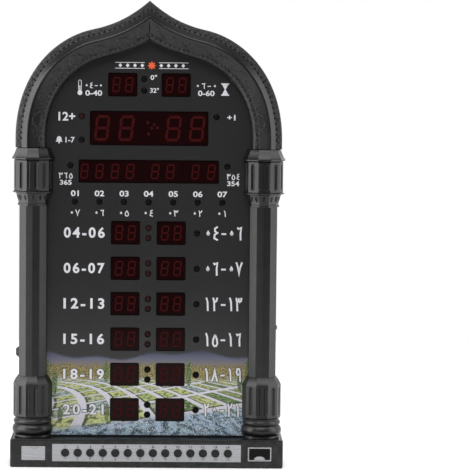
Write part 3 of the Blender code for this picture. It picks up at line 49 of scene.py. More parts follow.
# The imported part, and the box that the visual model keeps to
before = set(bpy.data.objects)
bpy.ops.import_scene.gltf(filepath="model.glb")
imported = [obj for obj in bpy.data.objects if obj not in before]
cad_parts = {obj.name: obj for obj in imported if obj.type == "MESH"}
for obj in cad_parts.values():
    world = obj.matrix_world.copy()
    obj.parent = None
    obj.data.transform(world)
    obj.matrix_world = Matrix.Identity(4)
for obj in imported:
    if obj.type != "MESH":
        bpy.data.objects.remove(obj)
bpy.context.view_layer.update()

# Places read from the imported part
ARCH_LOW, ARCH_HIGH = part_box("arch_frame")
COLUMN_LOW, COLUMN_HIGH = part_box("column_right")
PANEL_LOW, PANEL_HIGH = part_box("display_panel")
KEY_PLATE_LOW, KEY_PLATE_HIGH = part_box("button_plate")
BADGE_LOW, BADGE_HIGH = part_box("badge_plate")
LENS_LOW, LENS_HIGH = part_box("window_lens")
DISPLAY_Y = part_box("main_time_display")[0].y
TRIM_BACK_Y = ARCH_HIGH.y
TOTAL_HEIGHT = ARCH_HIGH.z
PLINTH_TOP_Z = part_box("base_housing")[1].z


def share_height(share):
    """A height as a share of the way from the plinth's top to the arch's tip."""
    return PLINTH_TOP_Z + share * (TOTAL_HEIGHT - PLINTH_TOP_Z)


# Arch: its band from the outer edge to the inner one, and the shares that shape its two edges
ARCH_HALF_WIDTH = ARCH_HIGH.x
ARCH_SPRING_Z = share_height(0.6853)
ARCH_BAND = 27.2 * MM
ARCH_TIP_BAND = 36 * MM
ARCH_DEPTH = 15 * MM
ARCH_STEPS = 72
OUTER_EDGE_SHARES = ((1, 0), (1, 0.438), (0.735, 0.724), (0.422, 0.791),
                     (0.243, 0.829), (0.125, 0.896), (0, 1))
INNER_EDGE_SHARES = ((1, 0), (1, 0.486), (0.729, 0.724), (0.474, 0.805),
                     (0.313, 0.856), (0.114, 0.913), (0, 1))
BAND_SECTION_SHARES = (
    (0, 0), (0, 0.47), (0.006, 0.525), (0.02, 0.56), (0.05, 0.576), (0.1, 0.591), (0.15, 0.604),
    (0.185, 0.613), (0.2, 0.619), (0.215, 0.633), (0.23, 0.657), (0.26, 0.71), (0.29, 0.763),
    (0.32, 0.815), (0.35, 0.863), (0.37, 0.888), (0.39, 0.905), (0.405, 0.911), (0.42, 0.911),
    (0.44, 0.903), (0.5, 0.85), (0.56, 0.794), (0.62, 0.739), (0.68, 0.683), (0.74, 0.628),
    (0.775, 0.596), (0.785, 0.575), (0.797, 0.575), (0.807, 0.599), (0.82, 0.601), (0.87, 0.59),
    (0.9, 0.575), (0.92, 0.543), (0.945, 0.492), (0.97, 0.438), (0.985, 0.38), (1, 0.25), (1, 0))
OUTER_STRIP_SHARES = (0.0, 0.215)
INNER_STRIP_SHARES = (0.76, 0.905)
OUTER_BEADS_SHARE = 0.178
INNER_BEADS_SHARE = 0.845
SCROLL_SHARE = 0.63
SCROLL_EDGE_SHARES = (0.49, 0.785)
STRIP_SOFTNESS = 0.15 * MM
SEAM_HALF_WIDTH = 0.6 * MM
SEAM_DEPTH_SHARE = 0.035
PATH_STEPS = 240
SCROLL_STEPS = 24
VINE_SWING = 2.9 * MM
CURL_RADIUS = 2.7 * MM
BUD_THICKNESSES = (0.5, 1.25, 1.5, 1.1, 0.4)

# Columns: radius in mm and distance in mm, from the top for the capital, from the bottom for the foot
COLUMN_X = (COLUMN_LOW.x + COLUMN_HIGH.x) / 2
COLUMN_AXIS_Y = TRIM_BACK_Y - 1 * MM
COLUMN_TOP_Z = COLUMN_HIGH.z
COLUMN_FOOT_Z = COLUMN_LOW.z
COLUMN_SIDES = 120
FACETS = 10
FLUTE_ANGLES = [math.radians(middle) for middle in (12, 38.5, 72)]
DRUM_RADIUS = 17.5 * MM
CAPITAL_DRUM = (11.2 * MM, 38.4 * MM)
FOOT_DRUM = (19.5 * MM, 48.9 * MM)
CAPITAL_ABOVE = ((14.5, 0), (15.1, 0.25), (15.5, 1), (16.1, 2.6), (16.9, 4.6), (17.7, 6.4), (18.5, 7.9),
                 (19.0, 8.6), (19.35, 8.95), (19.4, 9.3), (19.4, 9.8), (19.25, 10.1), (18.6, 10.25),
                 (17.3, 10.35), (16.9, 10.7), (17.2, 11.0))
CAPITAL_BELOW = ((17.3, 38.5), (17.0, 38.8), (17.6, 39.0), (18.3, 39.1), (18.5, 39.4), (18.5, 40.0),
                 (18.3, 40.35), (17.4, 40.5), (15.8, 40.8), (15.6, 41.4), (15.2, 42.6), (14.7, 44.2),
                 (14.2, 45.9), (13.7, 47.8), (13.4, 49.6), (13.6, 49.9), (14.05, 50.1), (14.2, 50.6),
                 (14.2, 51.6), (14.0, 52.0), (12.5, 52.2))
FOOT_ABOVE = ((12.3, 57.2), (12.9, 56.6), (13.7, 55.6), (14.6, 54.4), (15.5, 53.1), (16.3, 51.7),
              (17.0, 50.2), (17.4, 49.2))
FOOT_BELOW = ((17.3, 19.3), (16.6, 18.8), (15.9, 18.2), (15.8, 17.1), (16.2, 16.6), (16.8, 15.9),
              (17.15, 15.0), (17.2, 14.3), (17.0, 13.4), (16.5, 12.7), (15.9, 12.3), (16.4, 11.7),
              (17.2, 10.8), (17.8, 9.6), (18.15, 8.2), (18.2, 7.2), (18.0, 5.8), (17.5, 4.6),
              (16.8, 3.6), (16.2, 3.0), (16.0, 2.7), (16.3, 2.5), (16.4, 2.1), (16.4, 0.0))
SHAFT_TOP_DROP = 51.5 * MM
SHAFT_BOTTOM_RISE = 56 * MM
SHAFT_HALF = 12.3 * MM
SHAFT_FLAT_HALF = 6.2 * MM
SHAFT_DEPTH = 14 * MM
SHAFT_CREST = 0.9 * MM
FLUTE_END_MARGIN = 1.6 * MM
LEAF_LENGTH = 7.6 * MM
LEAF_HALF_WIDTH = 2.35 * MM
LEAF_SWELL = 0.95 * MM
LEAF_RIB = 0.25 * MM
LEAF_SINK = 0.3 * MM
LEAF_WALL = 0.35 * MM
LEAF_RADIUS = 15.2 * MM
LEAF_DROP = 41 * MM
LEAF_SPREAD = math.radians(164)
LEAF_TILT = math.radians(14)

# Display panel and what shows through it
ROW_COUNT = 6
FIRST_PRINT_ROW = 4
ROW_Z = [share_height(0.469 - row * (0.469 - 0.0599) / (ROW_COUNT - 1)) for row in range(ROW_COUNT)]
TOP_WINDOW_Z = share_height(0.8084)
TIME_Z = share_height(0.7089)
DATE_Z = share_height(0.6099)
WEEKDAY_Z = share_height(0.5398)
WEEKDAY_PITCH = 22.2 * MM
WEEKDAY_HALF_WIDTH = 5.2 * MM
WESTERN_ENDS = (-76.4 * MM, -39.4 * MM)
WESTERN_HALF_HEIGHT = 4.9 * MM
EASTERN_ENDS = (50.5 * MM, 86 * MM)
EASTERN_HALF_HEIGHT = 6.1 * MM
EASTERN_PEN = 1.6 * MM
BOLD = 0.024
WINDOW_CORNER = 1.7 * MM
ROW_WINDOW_X = 20.7 * MM
TOP_WINDOW_X = 24 * MM
SMALL_WINDOW = (26.5 * MM, 21.4 * MM)
TIME_WINDOW = (107 * MM, 31.2 * MM)
DATE_WINDOW = (126.8 * MM, 21.1 * MM)
DIGIT_HEIGHT = 13.6 * MM
TIME_DIGIT_HEIGHT = 23 * MM
COLON_OFFSET = 4.6 * MM
ROW_LAMP_X = 43.95 * MM
UNIT_LAMP_X = 4.75 * MM
UNIT_LAMP_OFFSET = 5.3 * MM
TIME_LAMP_X = 60.6 * MM
TIME_LAMP_OFFSET = 10.6 * MM
DATE_LAMP_X = 70.8 * MM
DATE_LAMP_RISE = 5.2 * MM
LAMP_HOLE_RADIUS = 2.8 * MM
LAMP_RADIUS = 2.45 * MM
LAMP_DOME = 0.75 * MM
LAMP_BODY = 0.9 * MM
LAMP_Y = -0.35 * MM
RIM_SIDES = 32
PRINT_LIFT = 0.07 * MM
OUTLINE_SPREAD = 0.5 * MM
STAR_X = 2 * MM
STAR_Z = 361.9 * MM
STAR_OUTER = 4.1 * MM
STAR_INNER = 2.3 * MM

# The print's trees: place across, foot and height, in mm
POPLARS = ((-91.0, 58.0, 38.0), (-84.0, 62.0, 24.0), (-37.5, 74.0, 20.0), (-79.0, 36.0, 16.0),
           (37.5, 70.0, 26.0), (91.0, 56.0, 42.0), (84.0, 66.0, 22.0), (-36.6, 38.0, 17.0))

# Key row
KEY_COUNT = 14
KEY_RADIUS = 3.45 * MM
KEY_FLANGE_RADIUS = 4.05 * MM
KEY_STEM_RADIUS = 1.2 * MM
KEY_FLANGE_BACK = 4.4 * MM
KEY_FLANGE_THICKNESS = 1 * MM
KEY_MARK_HALF_WIDTH = 0.9 * MM
KEY_MARK_WIDE_HALF_WIDTH = 1.7 * MM
KEY_DISH = ((0, 0.34), (1.2, 0.3), (2.1, 0.2), (2.75, 0.07), (3.05, 0.0), (3.25, 0.03), (3.4, 0.16),
            (3.45, 0.4))

# Small parts
SCREW_PROFILE = ((0, 0), (1.6, 0), (2.4, -0.18), (2.85, -0.6), (3, -1.2), (3, -1.9), (1.5, -1.9),
                 (1.5, -13.1), (0, -13.1))
SCREW_SLOT = (3.2 * MM, 2 * MM, 0.75 * MM)
DOME_HALF_WIDTH = 5.6 * MM
DOME_HEIGHT = 3.4 * MM
BOARD_PARTS_Y = DISPLAY_Y + 7.8 * MM

# Camera, as fitted to the photograph's view
CAMERA_PLACE = Vector((20, -2399.2, 400)) * MM
CAMERA_TARGET = Vector((78.36, -1.2, 209.56)) * MM
CAMERA_LENS = 203.66
CAMERA_ROLL = math.radians(0.566)
FLOOR_RADIUS = 0.95

# Lights: name, place, target, width, height, radiance, and whether it is a card seen in gloss alone
MIDDLE = (0, 0, 0.21)
LIGHTS = (("Left card", (-0.36, -0.09, 0.27), (-0.14, 0.076, 0.27), 0.3, 0.56, 4.2, True),
          ("Right card", (0.4, -0.05, 0.27), (0.24, 0.15, 0.27), 0.26, 0.56, 2.4, True),
          ("Front left strip", (-0.874, -1.95, 0.1), MIDDLE, 0.24, 0.9, 3.6, True),
          ("Left box", (-1.1, -0.5, 0.6), MIDDLE, 0.8, 1.0, 1.0, False),
          ("Right box", (1.1, -0.5, 0.6), MIDDLE, 0.8, 1.0, 0.9, False),
          ("Front high box", (-0.1, -1.5, 1.9), MIDDLE, 2.0, 1.0, 5.0, False),
          ("Top box", (0, -0.4, 1.5), MIDDLE, 1.2, 0.6, 0.7, False),
          ("Back box", (0.3, 1.4, 0.9), MIDDLE, 1.2, 1.0, 1.2, False))


def srgb(red, green, blue):
    """A display colour, 0 to 255, as Blender's linear colour."""
    return tuple((part / 255 / 12.92) if part <= 10 else ((part / 255 + 0.055) / 1.055) ** 2.4
                 for part in (red, green, blue))


def opaque(colour):
    return (*colour[:3], 1)


# Sizes and colours that a user may change

def length_property(name, description, default, low=0.0):
    return bpy.props.FloatProperty(name=name, description=description, default=default, min=low,
                                   unit="LENGTH")


class ClockSizes(bpy.types.PropertyGroup):
    bead_pitch: length_property("Bead pitch", "Distance between the outer strip's beads", 4.9 * MM, MM)
    bead_radius: length_property("Bead radius", "Radius of those beads", 0.85 * MM, 0.1 * MM)
    inner_bead_pitch: length_property("Inner bead pitch", "Distance between the inner beads", 4.4 * MM, MM)
    scroll_pitch: length_property("Scroll pitch", "Length of one wave of the scroll", 21 * MM, 8 * MM)
    scroll_radius: length_property("Scroll thickness", "Radius of the scroll's line", 0.46 * MM, 0.1 * MM)
    leaf_count: bpy.props.IntProperty(name="Leaves", description="Leaves on the front of a capital's bell",
                                      default=7, min=3)
    flute_radius: length_property("Flute radius", "Radius of a drum's flute", 1.75 * MM)
    flute_depth: length_property("Flute depth", "Depth of a drum's flute", 1.5 * MM)
    edge_radius: length_property("Edge radius", "Softened edge of the moulded casing", 0.35 * MM)


def colour_property(name, description, default):
    return bpy.props.FloatVectorProperty(name=name, description=description, subtype="COLOR", size=3,
                                         min=0, max=1, default=default)


class ClockColours(bpy.types.PropertyGroup):
    casing: colour_property("Casing", "Moulded black casing", srgb(13, 13, 14))
    # This colour lightens rubbed edges, and it is also the painted highlight on the arch strips' raised pips.
    casing_worn: colour_property("Casing edges", "Rubbed edges of the casing", srgb(66, 66, 69))
    panel: colour_property("Panel", "Front panel sheet", srgb(40, 40, 41))
    silver: colour_property("Silver", "Key plate, badge place and window frame", srgb(178, 179, 183))
    lettering: colour_property("Lettering", "Printed numbers and signs", srgb(222, 222, 227))
    emblem: colour_property("Emblem", "Star in the top row", srgb(236, 84, 48))
    window: colour_property("Display window", "Tinted display face", srgb(29, 7, 8))
    segment: colour_property("Unlit segment", "Digit segments that are off", srgb(60, 11, 13))
    red_lamp: colour_property("Red lamp", "Tinted lamps", srgb(40, 13, 15))
    dark_lamp: colour_property("Dark lamp", "Clear lamps over a dark board", srgb(7, 7, 8))
    board: colour_property("Circuit board", "Board lacquer", srgb(20, 70, 44))
    steel: colour_property("Steel", "Screws and metal parts", srgb(170, 170, 172))
    key: colour_property("Keys", "Rubbery key tops", srgb(26, 26, 28))


# Plain finishes: colour, specular, the grain's scale, smoothest, roughest and depth in mm, and wear
FINISHES = {
    "satin casing": ("casing", 0.4, 1400.0, 0.28, 0.4, 0.03, 0.35),
    "rear casing": ("casing", 0.4, 700.0, 0.42, 0.6, 0.09, 0.3),
    "black plastic": ("key", 0.3, 1100.0, 0.4, 0.55, 0.04, 0.5),
    "unlit segment": ("segment", 0.06, 900.0, 0.35, 0.5, 0.01, 0),
    "red lamp": ("red_lamp", 0.12, 600.0, 0.3, 0.4, 0, 0),
    "dark lamp": ("dark_lamp", 0.1, 600.0, 0.3, 0.4, 0, 0),
    "lamp rim": ("casing", 0.2, 900.0, 0.25, 0.35, 0, 0),
    "dark print": (srgb(30, 30, 32), 0.3, 900.0, 0.4, 0.55, 0, 0),
    # The grey of the painted shade line on the badge.
    "grey painted shade": (srgb(112, 112, 116), 0.3, 900.0, 0.4, 0.55, 0, 0),
}
LENS_COLOUR = srgb(8, 8, 9)
DOME_COLOUR = srgb(206, 206, 208)


# Node trees

class Wiring:
    """Puts nodes into one tree. An input may be given as another node's socket or as a plain value."""

    def __init__(self, tree):
        self.tree = tree

    def add(self, kind, inputs=(), **settings):
        node = self.tree.nodes.new(kind)
        for setting, value in settings.items():
            setattr(node, setting, value)
        for key, value in dict(inputs).items():
            if isinstance(value, bpy.types.NodeSocket):
                self.tree.links.new(value, node.inputs[key])
            else:
                node.inputs[key].default_value = value
        return node

    def feed(self, value, node, name):
        self.tree.links.new(value, node.inputs[name])

    def math(self, operation, *values):
        return self.add("ShaderNodeMath", enumerate(values), operation=operation).outputs[0]

    def times(self, first, second):
        return self.math("MULTIPLY", first, second)

    def plus(self, first, second):
        return self.math("ADD", first, second)

    def minus(self, first, second):
        return self.math("SUBTRACT", first, second)

    def over(self, first, second):
        return self.math("DIVIDE", first, second)

    def vector(self, first, second):
        return self.add("ShaderNodeCombineXYZ", {0: first, 1: second}).outputs[0]

    def fade(self, value, low, high):
        """0 where value is at low, 1 where it is at high, soft between."""
        inputs = {0: value, 1: low, 2: high, 3: 0.0, 4: 1.0}
        return self.add("ShaderNodeMapRange", inputs, interpolation_type="SMOOTHSTEP").outputs[0]

    def between(self, value, low, high, soft):
        """1 inside a range, 0 outside it."""
        rise = self.fade(value, low - soft, low + soft)
        return self.times(rise, self.fade(value, high + soft, high - soft))

    def blend(self, factor, low, high):
        """The colour low where factor is 0 and high where it is 1."""
        low, high = (end if isinstance(end, bpy.types.NodeSocket) else opaque(end) for end in (low, high))
        return self.add("ShaderNodeMix", {0: factor, 6: low, 7: high}, data_type="RGBA").outputs[2]

    def noise(self, vector, scale, detail=2.0):
        return self.add("ShaderNodeTexNoise", {"Vector": vector, "Scale": scale, "Detail": detail}).outputs[0]

    def cells(self, vector, scale, randomness=1.0):
        inputs = {"Vector": vector, "Scale": scale, "Randomness": randomness}
        return self.add("ShaderNodeTexVoronoi", inputs).outputs[0]

    def ramp(self, value, stops):
        node = self.add("ShaderNodeValToRGB", {0: value})
        elements = node.color_ramp.elements
        while len(elements) < len(stops):
            elements.new(1.0)
        for element, (place, colour) in zip(elements, stops):
            element.position = place
            element.color = opaque(colour)
        return node.outputs[0]


def group(kind, name, inputs, outputs):
    """A node group with named sockets: the tree, its wiring, its inputs and its output node."""
    tree = bpy.data.node_groups.new(name, kind)
    for label, socket, default in inputs:
        made = tree.interface.new_socket(label, in_out="INPUT", socket_type=socket)
        if default is not None:
            made.default_value = default
    for label, socket in outputs:
        tree.interface.new_socket(label, in_out="OUTPUT", socket_type=socket)
    wire = Wiring(tree)
    return tree, wire, wire.add("NodeGroupInput").outputs, wire.add("NodeGroupOutput")


def built_once(maker):
    """Keeps one copy of each node group under its own name."""
    def wanted():
        name = maker.__name__.replace("_", " ")
        return bpy.data.node_groups.get(name) or maker(name)
    return wanted


@built_once
def moulded_grain(name):
    """Fine grain of moulded plastic: a roughness that varies and a height for bump."""
    inputs = [("Vector", "NodeSocketVector", None), ("Scale", "NodeSocketFloat", 900.0),
              ("Smooth", "NodeSocketFloat", 0.3), ("Rough", "NodeSocketFloat", 0.45)]
    tree, wire, given, result = group("ShaderNodeTree", name, inputs,
                                      [("Roughness", "NodeSocketFloat"), ("Height", "NodeSocketFloat")])
    fine = wire.noise(given["Vector"], given["Scale"], 3.0)
    broad = wire.noise(given["Vector"], 45.0, 2.0)
    span = wire.minus(given["Rough"], given["Smooth"])
    varied = wire.math("MULTIPLY_ADD", broad, span, given["Smooth"])
    wire.feed(varied, result, "Roughness")
    wire.feed(fine, result, "Height")
    return tree


@built_once
def rubbed_edges(name):
    """A mask of the edges that hands rub, broken up by noise."""
    tree, wire, given, result = group("ShaderNodeTree", name, [("Vector", "NodeSocketVector", None)],
                                      [("Mask", "NodeSocketFloat")])
    sharp = wire.fade(wire.add("ShaderNodeNewGeometry").outputs["Pointiness"], 0.505, 0.6)
    patchy = wire.fade(wire.noise(given["Vector"], 160.0, 3.0), 0.35, 0.7)
    wire.feed(wire.times(sharp, patchy), result, "Mask")
    return tree


@built_once
def stippled_strips(name):
    """Raised pips in the strips beside the arch's ridge, read from its own map."""
    inputs = [("Vector", "NodeSocketVector", None), ("Scale", "NodeSocketFloat", 700.0)]
    tree, wire, given, result = group("ShaderNodeTree", name, inputs,
                                      [("Height", "NodeSocketFloat"), ("Mask", "NodeSocketFloat")])
    across = wire.add("ShaderNodeSeparateXYZ", {0: given["Vector"]}).outputs[1]
    outer, inner = (wire.between(across, low * ARCH_BAND, high * ARCH_BAND, STRIP_SOFTNESS)
                    for low, high in (OUTER_STRIP_SHARES, INNER_STRIP_SHARES))
    strips = wire.plus(outer, inner)
    pips = wire.fade(wire.cells(given["Vector"], given["Scale"], 0.9), 0.65, 0.1)
    creased = wire.fade(wire.noise(given["Vector"], 430.0, 3.0), 0.4, 0.62)
    skin = wire.plus(wire.times(pips, 0.45), wire.times(creased, 0.75))
    wire.feed(wire.times(skin, strips), result, "Height")
    wire.feed(strips, result, "Mask")
    return tree


@built_once
def poplar_mask(name):
    """The soft outline of one slim tree, in millimetres."""
    inputs = [("Vector", "NodeSocketVector", None), ("Across", "NodeSocketFloat", 0.0),
              ("Foot", "NodeSocketFloat", 40.0), ("Height", "NodeSocketFloat", 24.0),
              ("Width", "NodeSocketFloat", 2.5)]
    tree, wire, given, result = group("ShaderNodeTree", name, inputs, [("Mask", "NodeSocketFloat")])
    place = wire.add("ShaderNodeSeparateXYZ", {0: given["Vector"]}).outputs
    ragged = wire.times(wire.minus(wire.noise(given["Vector"], 1.1, 3.0), 0.5), 1.5)
    half = wire.times(given["Height"], 0.5)
    middle = wire.plus(given["Foot"], half)
    rise = wire.over(wire.minus(place[2], middle), half)
    side = wire.over(wire.minus(place[0], given["Across"]), given["Width"])
    round_part = wire.plus(wire.math("POWER", wire.math("ABSOLUTE", rise), 2.0), wire.times(side, side))
    edge = wire.plus(round_part, ragged)
    wire.feed(wire.fade(edge, 1.05, 0.8), result, "Mask")
    return tree


@built_once
def evening_garden(name):
    """Terraced garden beds under low hills at dusk: their colour, and how much of the panel they cover."""
    tree, wire, given, result = group("ShaderNodeTree", name, [("Vector", "NodeSocketVector", None)],
                                      [("Colour", "NodeSocketColor"), ("Cover", "NodeSocketFloat")])
    millimetres = {0: given["Vector"], "Scale": 1 / MM}
    vector = wire.add("ShaderNodeVectorMath", millimetres, operation="SCALE").outputs[0]
    place = wire.add("ShaderNodeSeparateXYZ", {0: vector}).outputs
    across, height = place[0], place[2]
    broken = wire.noise(vector, 0.16, 4.0)
    fine = wire.noise(vector, 0.75, 3.0)
    # The ground as it lies: its own two directions, which run together towards the skyline
    drop = wire.math("MAXIMUM", wire.minus(97.0, height), 4.0)
    far = wire.over(600.0, drop)
    aside = wire.over(wire.times(across, 6.0), drop)
    laid = wire.vector(aside, far)
    clumps = wire.noise(laid, 1.5, 4.0)
    shifted = wire.math("MULTIPLY_ADD", wire.minus(broken, 0.5), 9.0, height)
    # Garden beds in rings round a point, parted by paved walks and hedges
    over = wire.minus(aside, -26.0)
    ahead = wire.minus(far, 3.0)
    run = {0: wire.vector(over, ahead)}
    reach = wire.add("ShaderNodeVectorMath", run, operation="LENGTH").outputs["Value"]
    turn = wire.times(wire.math("ARCTAN2", ahead, over), 46.0 / math.tau)
    rings = wire.over(reach, 3.4)
    bed = wire.vector(wire.math("FLOOR", rings), wire.math("FLOOR", turn))
    chance = wire.add("ShaderNodeTexWhiteNoise", {"Vector": bed}, noise_dimensions="2D").outputs[0]
    planting = wire.ramp(chance, ((0.05, srgb(104, 130, 74)), (0.25, srgb(206, 212, 140)),
                                  (0.45, srgb(158, 176, 108)), (0.62, srgb(196, 200, 128)),
                                  (0.8, srgb(150, 168, 176)), (0.95, srgb(186, 192, 116))))
    shrubs = wire.blend(wire.times(wire.fade(clumps, 0.46, 0.6), 0.8), planting, srgb(40, 60, 28))
    blooms = wire.fade(wire.cells(laid, 2.4), 0.34, 0.12)
    flecked = wire.blend(wire.times(blooms, 0.75), shrubs, srgb(226, 226, 180))
    across_ring = wire.math("FRACT", rings)
    across_ray = wire.math("FRACT", turn)
    walks = wire.math("MAXIMUM", wire.between(across_ring, 0.0, 0.27, 0.015),
                      wire.between(across_ray, 0.0, 0.16, 0.012))
    edging = wire.math("MAXIMUM", wire.between(across_ring, 0.27, 0.36, 0.02),
                       wire.between(across_ray, 0.16, 0.22, 0.02))
    hedged = wire.blend(wire.times(edging, 0.85), flecked, srgb(30, 50, 24))
    stone = wire.blend(fine, srgb(176, 172, 190), srgb(240, 238, 244))
    garden = wire.blend(walks, hedged, stone)
    # Far town trees and the evening hills behind them
    town = wire.blend(wire.fade(fine, 0.35, 0.62), srgb(150, 132, 82), srgb(84, 78, 52))
    settled = wire.blend(wire.fade(shifted, 74.0, 81.0), garden, town)
    hills = wire.ramp(wire.over(height, 110.0),
                      ((0.83, srgb(120, 112, 106)), (0.87, srgb(98, 100, 120)), (0.93, srgb(64, 67, 86))))
    walked = wire.blend(wire.fade(shifted, 88.5, 91.5), settled, hills)
    # Lamps among the far trees and flowers by the near water
    sparks = wire.fade(wire.cells(vector, 1.15), 0.4, 0.1)
    lamps = wire.times(wire.times(sparks, wire.between(shifted, 76.0, 89.0, 2.5)), 0.85)
    lit = wire.blend(lamps, walked, srgb(240, 230, 150))
    shore = wire.fade(wire.math("MULTIPLY_ADD", across, -0.12, shifted), 44.0, 38.0)
    ripples = wire.blend(wire.fade(clumps, 0.4, 0.6), srgb(150, 178, 202), srgb(58, 84, 102))
    water = wire.blend(wire.times(shore, 0.9), lit, ripples)
    near = wire.times(wire.fade(wire.cells(vector, 0.8), 0.42, 0.2), shore)
    flowered = wire.blend(near, water, srgb(228, 236, 244))
    trees = 0.0
    for spot, foot, tall in POPLARS:
        tree_inputs = {"Vector": vector, "Across": spot, "Foot": foot, "Height": tall}
        mask = wire.add("ShaderNodeGroup", tree_inputs, node_tree=poplar_mask()).outputs[0]
        trees = wire.math("MAXIMUM", trees, mask)
    leaves = wire.blend(wire.fade(fine, 0.38, 0.64), srgb(30, 50, 26), srgb(118, 142, 84))
    planted = wire.blend(wire.times(trees, 0.9), flowered, leaves)
    broad = wire.times(wire.math("SINE", wire.over(across, 24.0)), 3.2)
    short = wire.times(wire.math("SINE", wire.math("MULTIPLY_ADD", across, 0.13, 1.2)), 1.6)
    swell = wire.plus(broad, short)
    ridge = wire.plus(wire.plus(swell, 99.0), wire.times(fine, 3.0))
    cover = wire.fade(wire.minus(ridge, height), -0.5, 3.0)
    wire.feed(planted, result, "Colour")
    wire.feed(cover, result, "Cover")
    return tree


# Materials

def surface(name, colour, roughness=0.4, metallic=0.0, specular=0.5):
    """A new material, its wiring, its shader and its Object coordinates."""
    material = bpy.data.materials.new(name)
    material.use_nodes = True
    material.node_tree.nodes.clear()
    wire = Wiring(material.node_tree)
    inputs = {"Base Color": opaque(colour), "Roughness": roughness, "Metallic": metallic,
              "Specular IOR Level": specular}
    shader = wire.add("ShaderNodeBsdfPrincipled", inputs)
    wire.add("ShaderNodeOutputMaterial", {"Surface": shader.outputs[0]})
    place = wire.add("ShaderNodeTexCoord").outputs["Object"]
    return material, wire, shader, place


def bump(wire, shader, height, distance, strength=0.5):
    node = wire.add("ShaderNodeBump", {"Height": height, "Distance": distance, "Strength": strength})
    wire.feed(node.outputs[0], shader, "Normal")


def grained(wire, shader, place, scale, smooth, rough, distance):
    """Adds the moulded grain to a material, and returns its height."""
    inputs = {"Vector": place, "Scale": scale, "Smooth": smooth, "Rough": rough}
    grain = wire.add("ShaderNodeGroup", inputs, node_tree=moulded_grain())
    wire.feed(grain.outputs["Roughness"], shader, "Roughness")
    if distance:
        bump(wire, shader, grain.outputs["Height"], distance)
    return grain.outputs["Height"]


def worn(wire, shader, place, colour, edge_colour, amount):
    """Lightens the rubbed edges of a material."""
    mask = wire.add("ShaderNodeGroup", {"Vector": place}, node_tree=rubbed_edges())
    factor = wire.times(mask.outputs[0], amount)
    wire.feed(wire.blend(factor, colour, edge_colour), shader, "Base Color")


def made_once(maker):
    """Keeps one copy of each material under its own name."""
    def wanted():
        name = maker.__name__.replace("_", " ")
        return bpy.data.materials.get(name) or maker(name, bpy.context.scene.clock_colours)
    return wanted


def plain(name):
    """One of the plain finishes, made once."""
    if name in bpy.data.materials:
        return bpy.data.materials[name]
    colours = bpy.context.scene.clock_colours
    colour, specular, scale, smooth, rough, depth, wear = FINISHES[name]
    if isinstance(colour, str):
        colour = getattr(colours, colour)
    material, wire, shader, place = surface(name, colour, specular=specular)
    grained(wire, shader, place, scale, smooth, rough, depth * MM)
    if wear:
        worn(wire, shader, place, colour, colours.casing_worn, wear)
    return material


@made_once
def arch_casing(name, colours):
    material, wire, shader, place = surface(name, colours.casing, specular=0.4)
    mapped = wire.add("ShaderNodeUVMap", uv_map="Arch map").outputs[0]
    strips = wire.add("ShaderNodeGroup", {"Vector": mapped}, node_tree=stippled_strips())
    fine = grained(wire, shader, place, 1400.0, 0.22, 0.32, 0)
    smooth = shader.inputs["Roughness"].links[0].from_socket
    dull = wire.math("MULTIPLY_ADD", strips.outputs["Mask"], 0.16, smooth)
    wire.feed(dull, shader, "Roughness")
    height = wire.math("MULTIPLY_ADD", fine, 0.06, strips.outputs["Height"])
    bump(wire, shader, height, 0.35 * MM, 0.8)
    # The strips' raised pips and creases are painted paler, towards the casing's edge colour: a painted
    # highlight on the stipple.
    painted_pip_sheen = wire.times(strips.outputs["Height"], 0.55)
    wire.feed(wire.blend(painted_pip_sheen, colours.casing, colours.casing_worn), shader, "Base Color")
    return material


@made_once
def sunk_dots(name, colours):
    """The dull dots that run along the arch's strips, painted darker than the casing: painted shade that
    stands for the relief's dark dots.
    """
    material, wire, shader, place = surface(name, [part * 0.4 for part in colours.casing], specular=0.15)
    grained(wire, shader, place, 900.0, 0.6, 0.75, 0)
    return material


@made_once
def printed_panel(name, colours):
    material, wire, shader, place = surface(name, colours.panel, specular=0.42)
    grained(wire, shader, place, 500.0, 0.16, 0.24, 0)
    art = wire.add("ShaderNodeGroup", {"Vector": place}, node_tree=evening_garden())
    colour = wire.blend(art.outputs["Cover"], colours.panel, art.outputs["Colour"])
    wire.feed(colour, shader, "Base Color")
    return material


@made_once
def silver_plate(name, colours):
    material, wire, shader, place = surface(name, colours.silver, roughness=0.42, metallic=0.35)
    stretched = wire.add("ShaderNodeMapping", {"Vector": place, "Scale": (60, 60, 4000)}).outputs[0]
    brushed = wire.noise(stretched, 1.0, 2.0)
    wire.feed(wire.fade(brushed, -0.3, 1.8), shader, "Roughness")
    tint = wire.blend(brushed, [part * 0.9 for part in colours.silver], colours.silver)
    wire.feed(tint, shader, "Base Color")
    bump(wire, shader, brushed, 0.01 * MM, 0.4)
    return material


@made_once
def display_window(name, colours):
    material, wire, shader, place = surface(name, colours.window, specular=0.08)
    grained(wire, shader, place, 300.0, 0.1, 0.16, 0)
    cloudy = wire.noise(place, 30.0, 2.0)
    darker = [part * 0.5 for part in colours.window]
    wire.feed(wire.blend(cloudy, darker, colours.window), shader, "Base Color")
    return material


@made_once
def white_print(name, colours):
    material, wire, shader, place = surface(name, colours.lettering, roughness=0.5)
    mottled = wire.fade(wire.noise(place, 1500.0, 2.0), 0.2, 0.5)
    thin = [part * 0.94 for part in colours.lettering]
    wire.feed(wire.blend(mottled, thin, colours.lettering), shader, "Base Color")
    return material


@made_once
def star_print(name, colours):
    material, wire, shader, place = surface(name, colours.emblem, roughness=0.45)
    glow = wire.noise(place, 220.0, 2.0)
    warm = (min(1, colours.emblem[0] * 1.1), colours.emblem[1] * 1.9, colours.emblem[2])
    wire.feed(wire.blend(glow, colours.emblem, warm), shader, "Base Color")
    return material


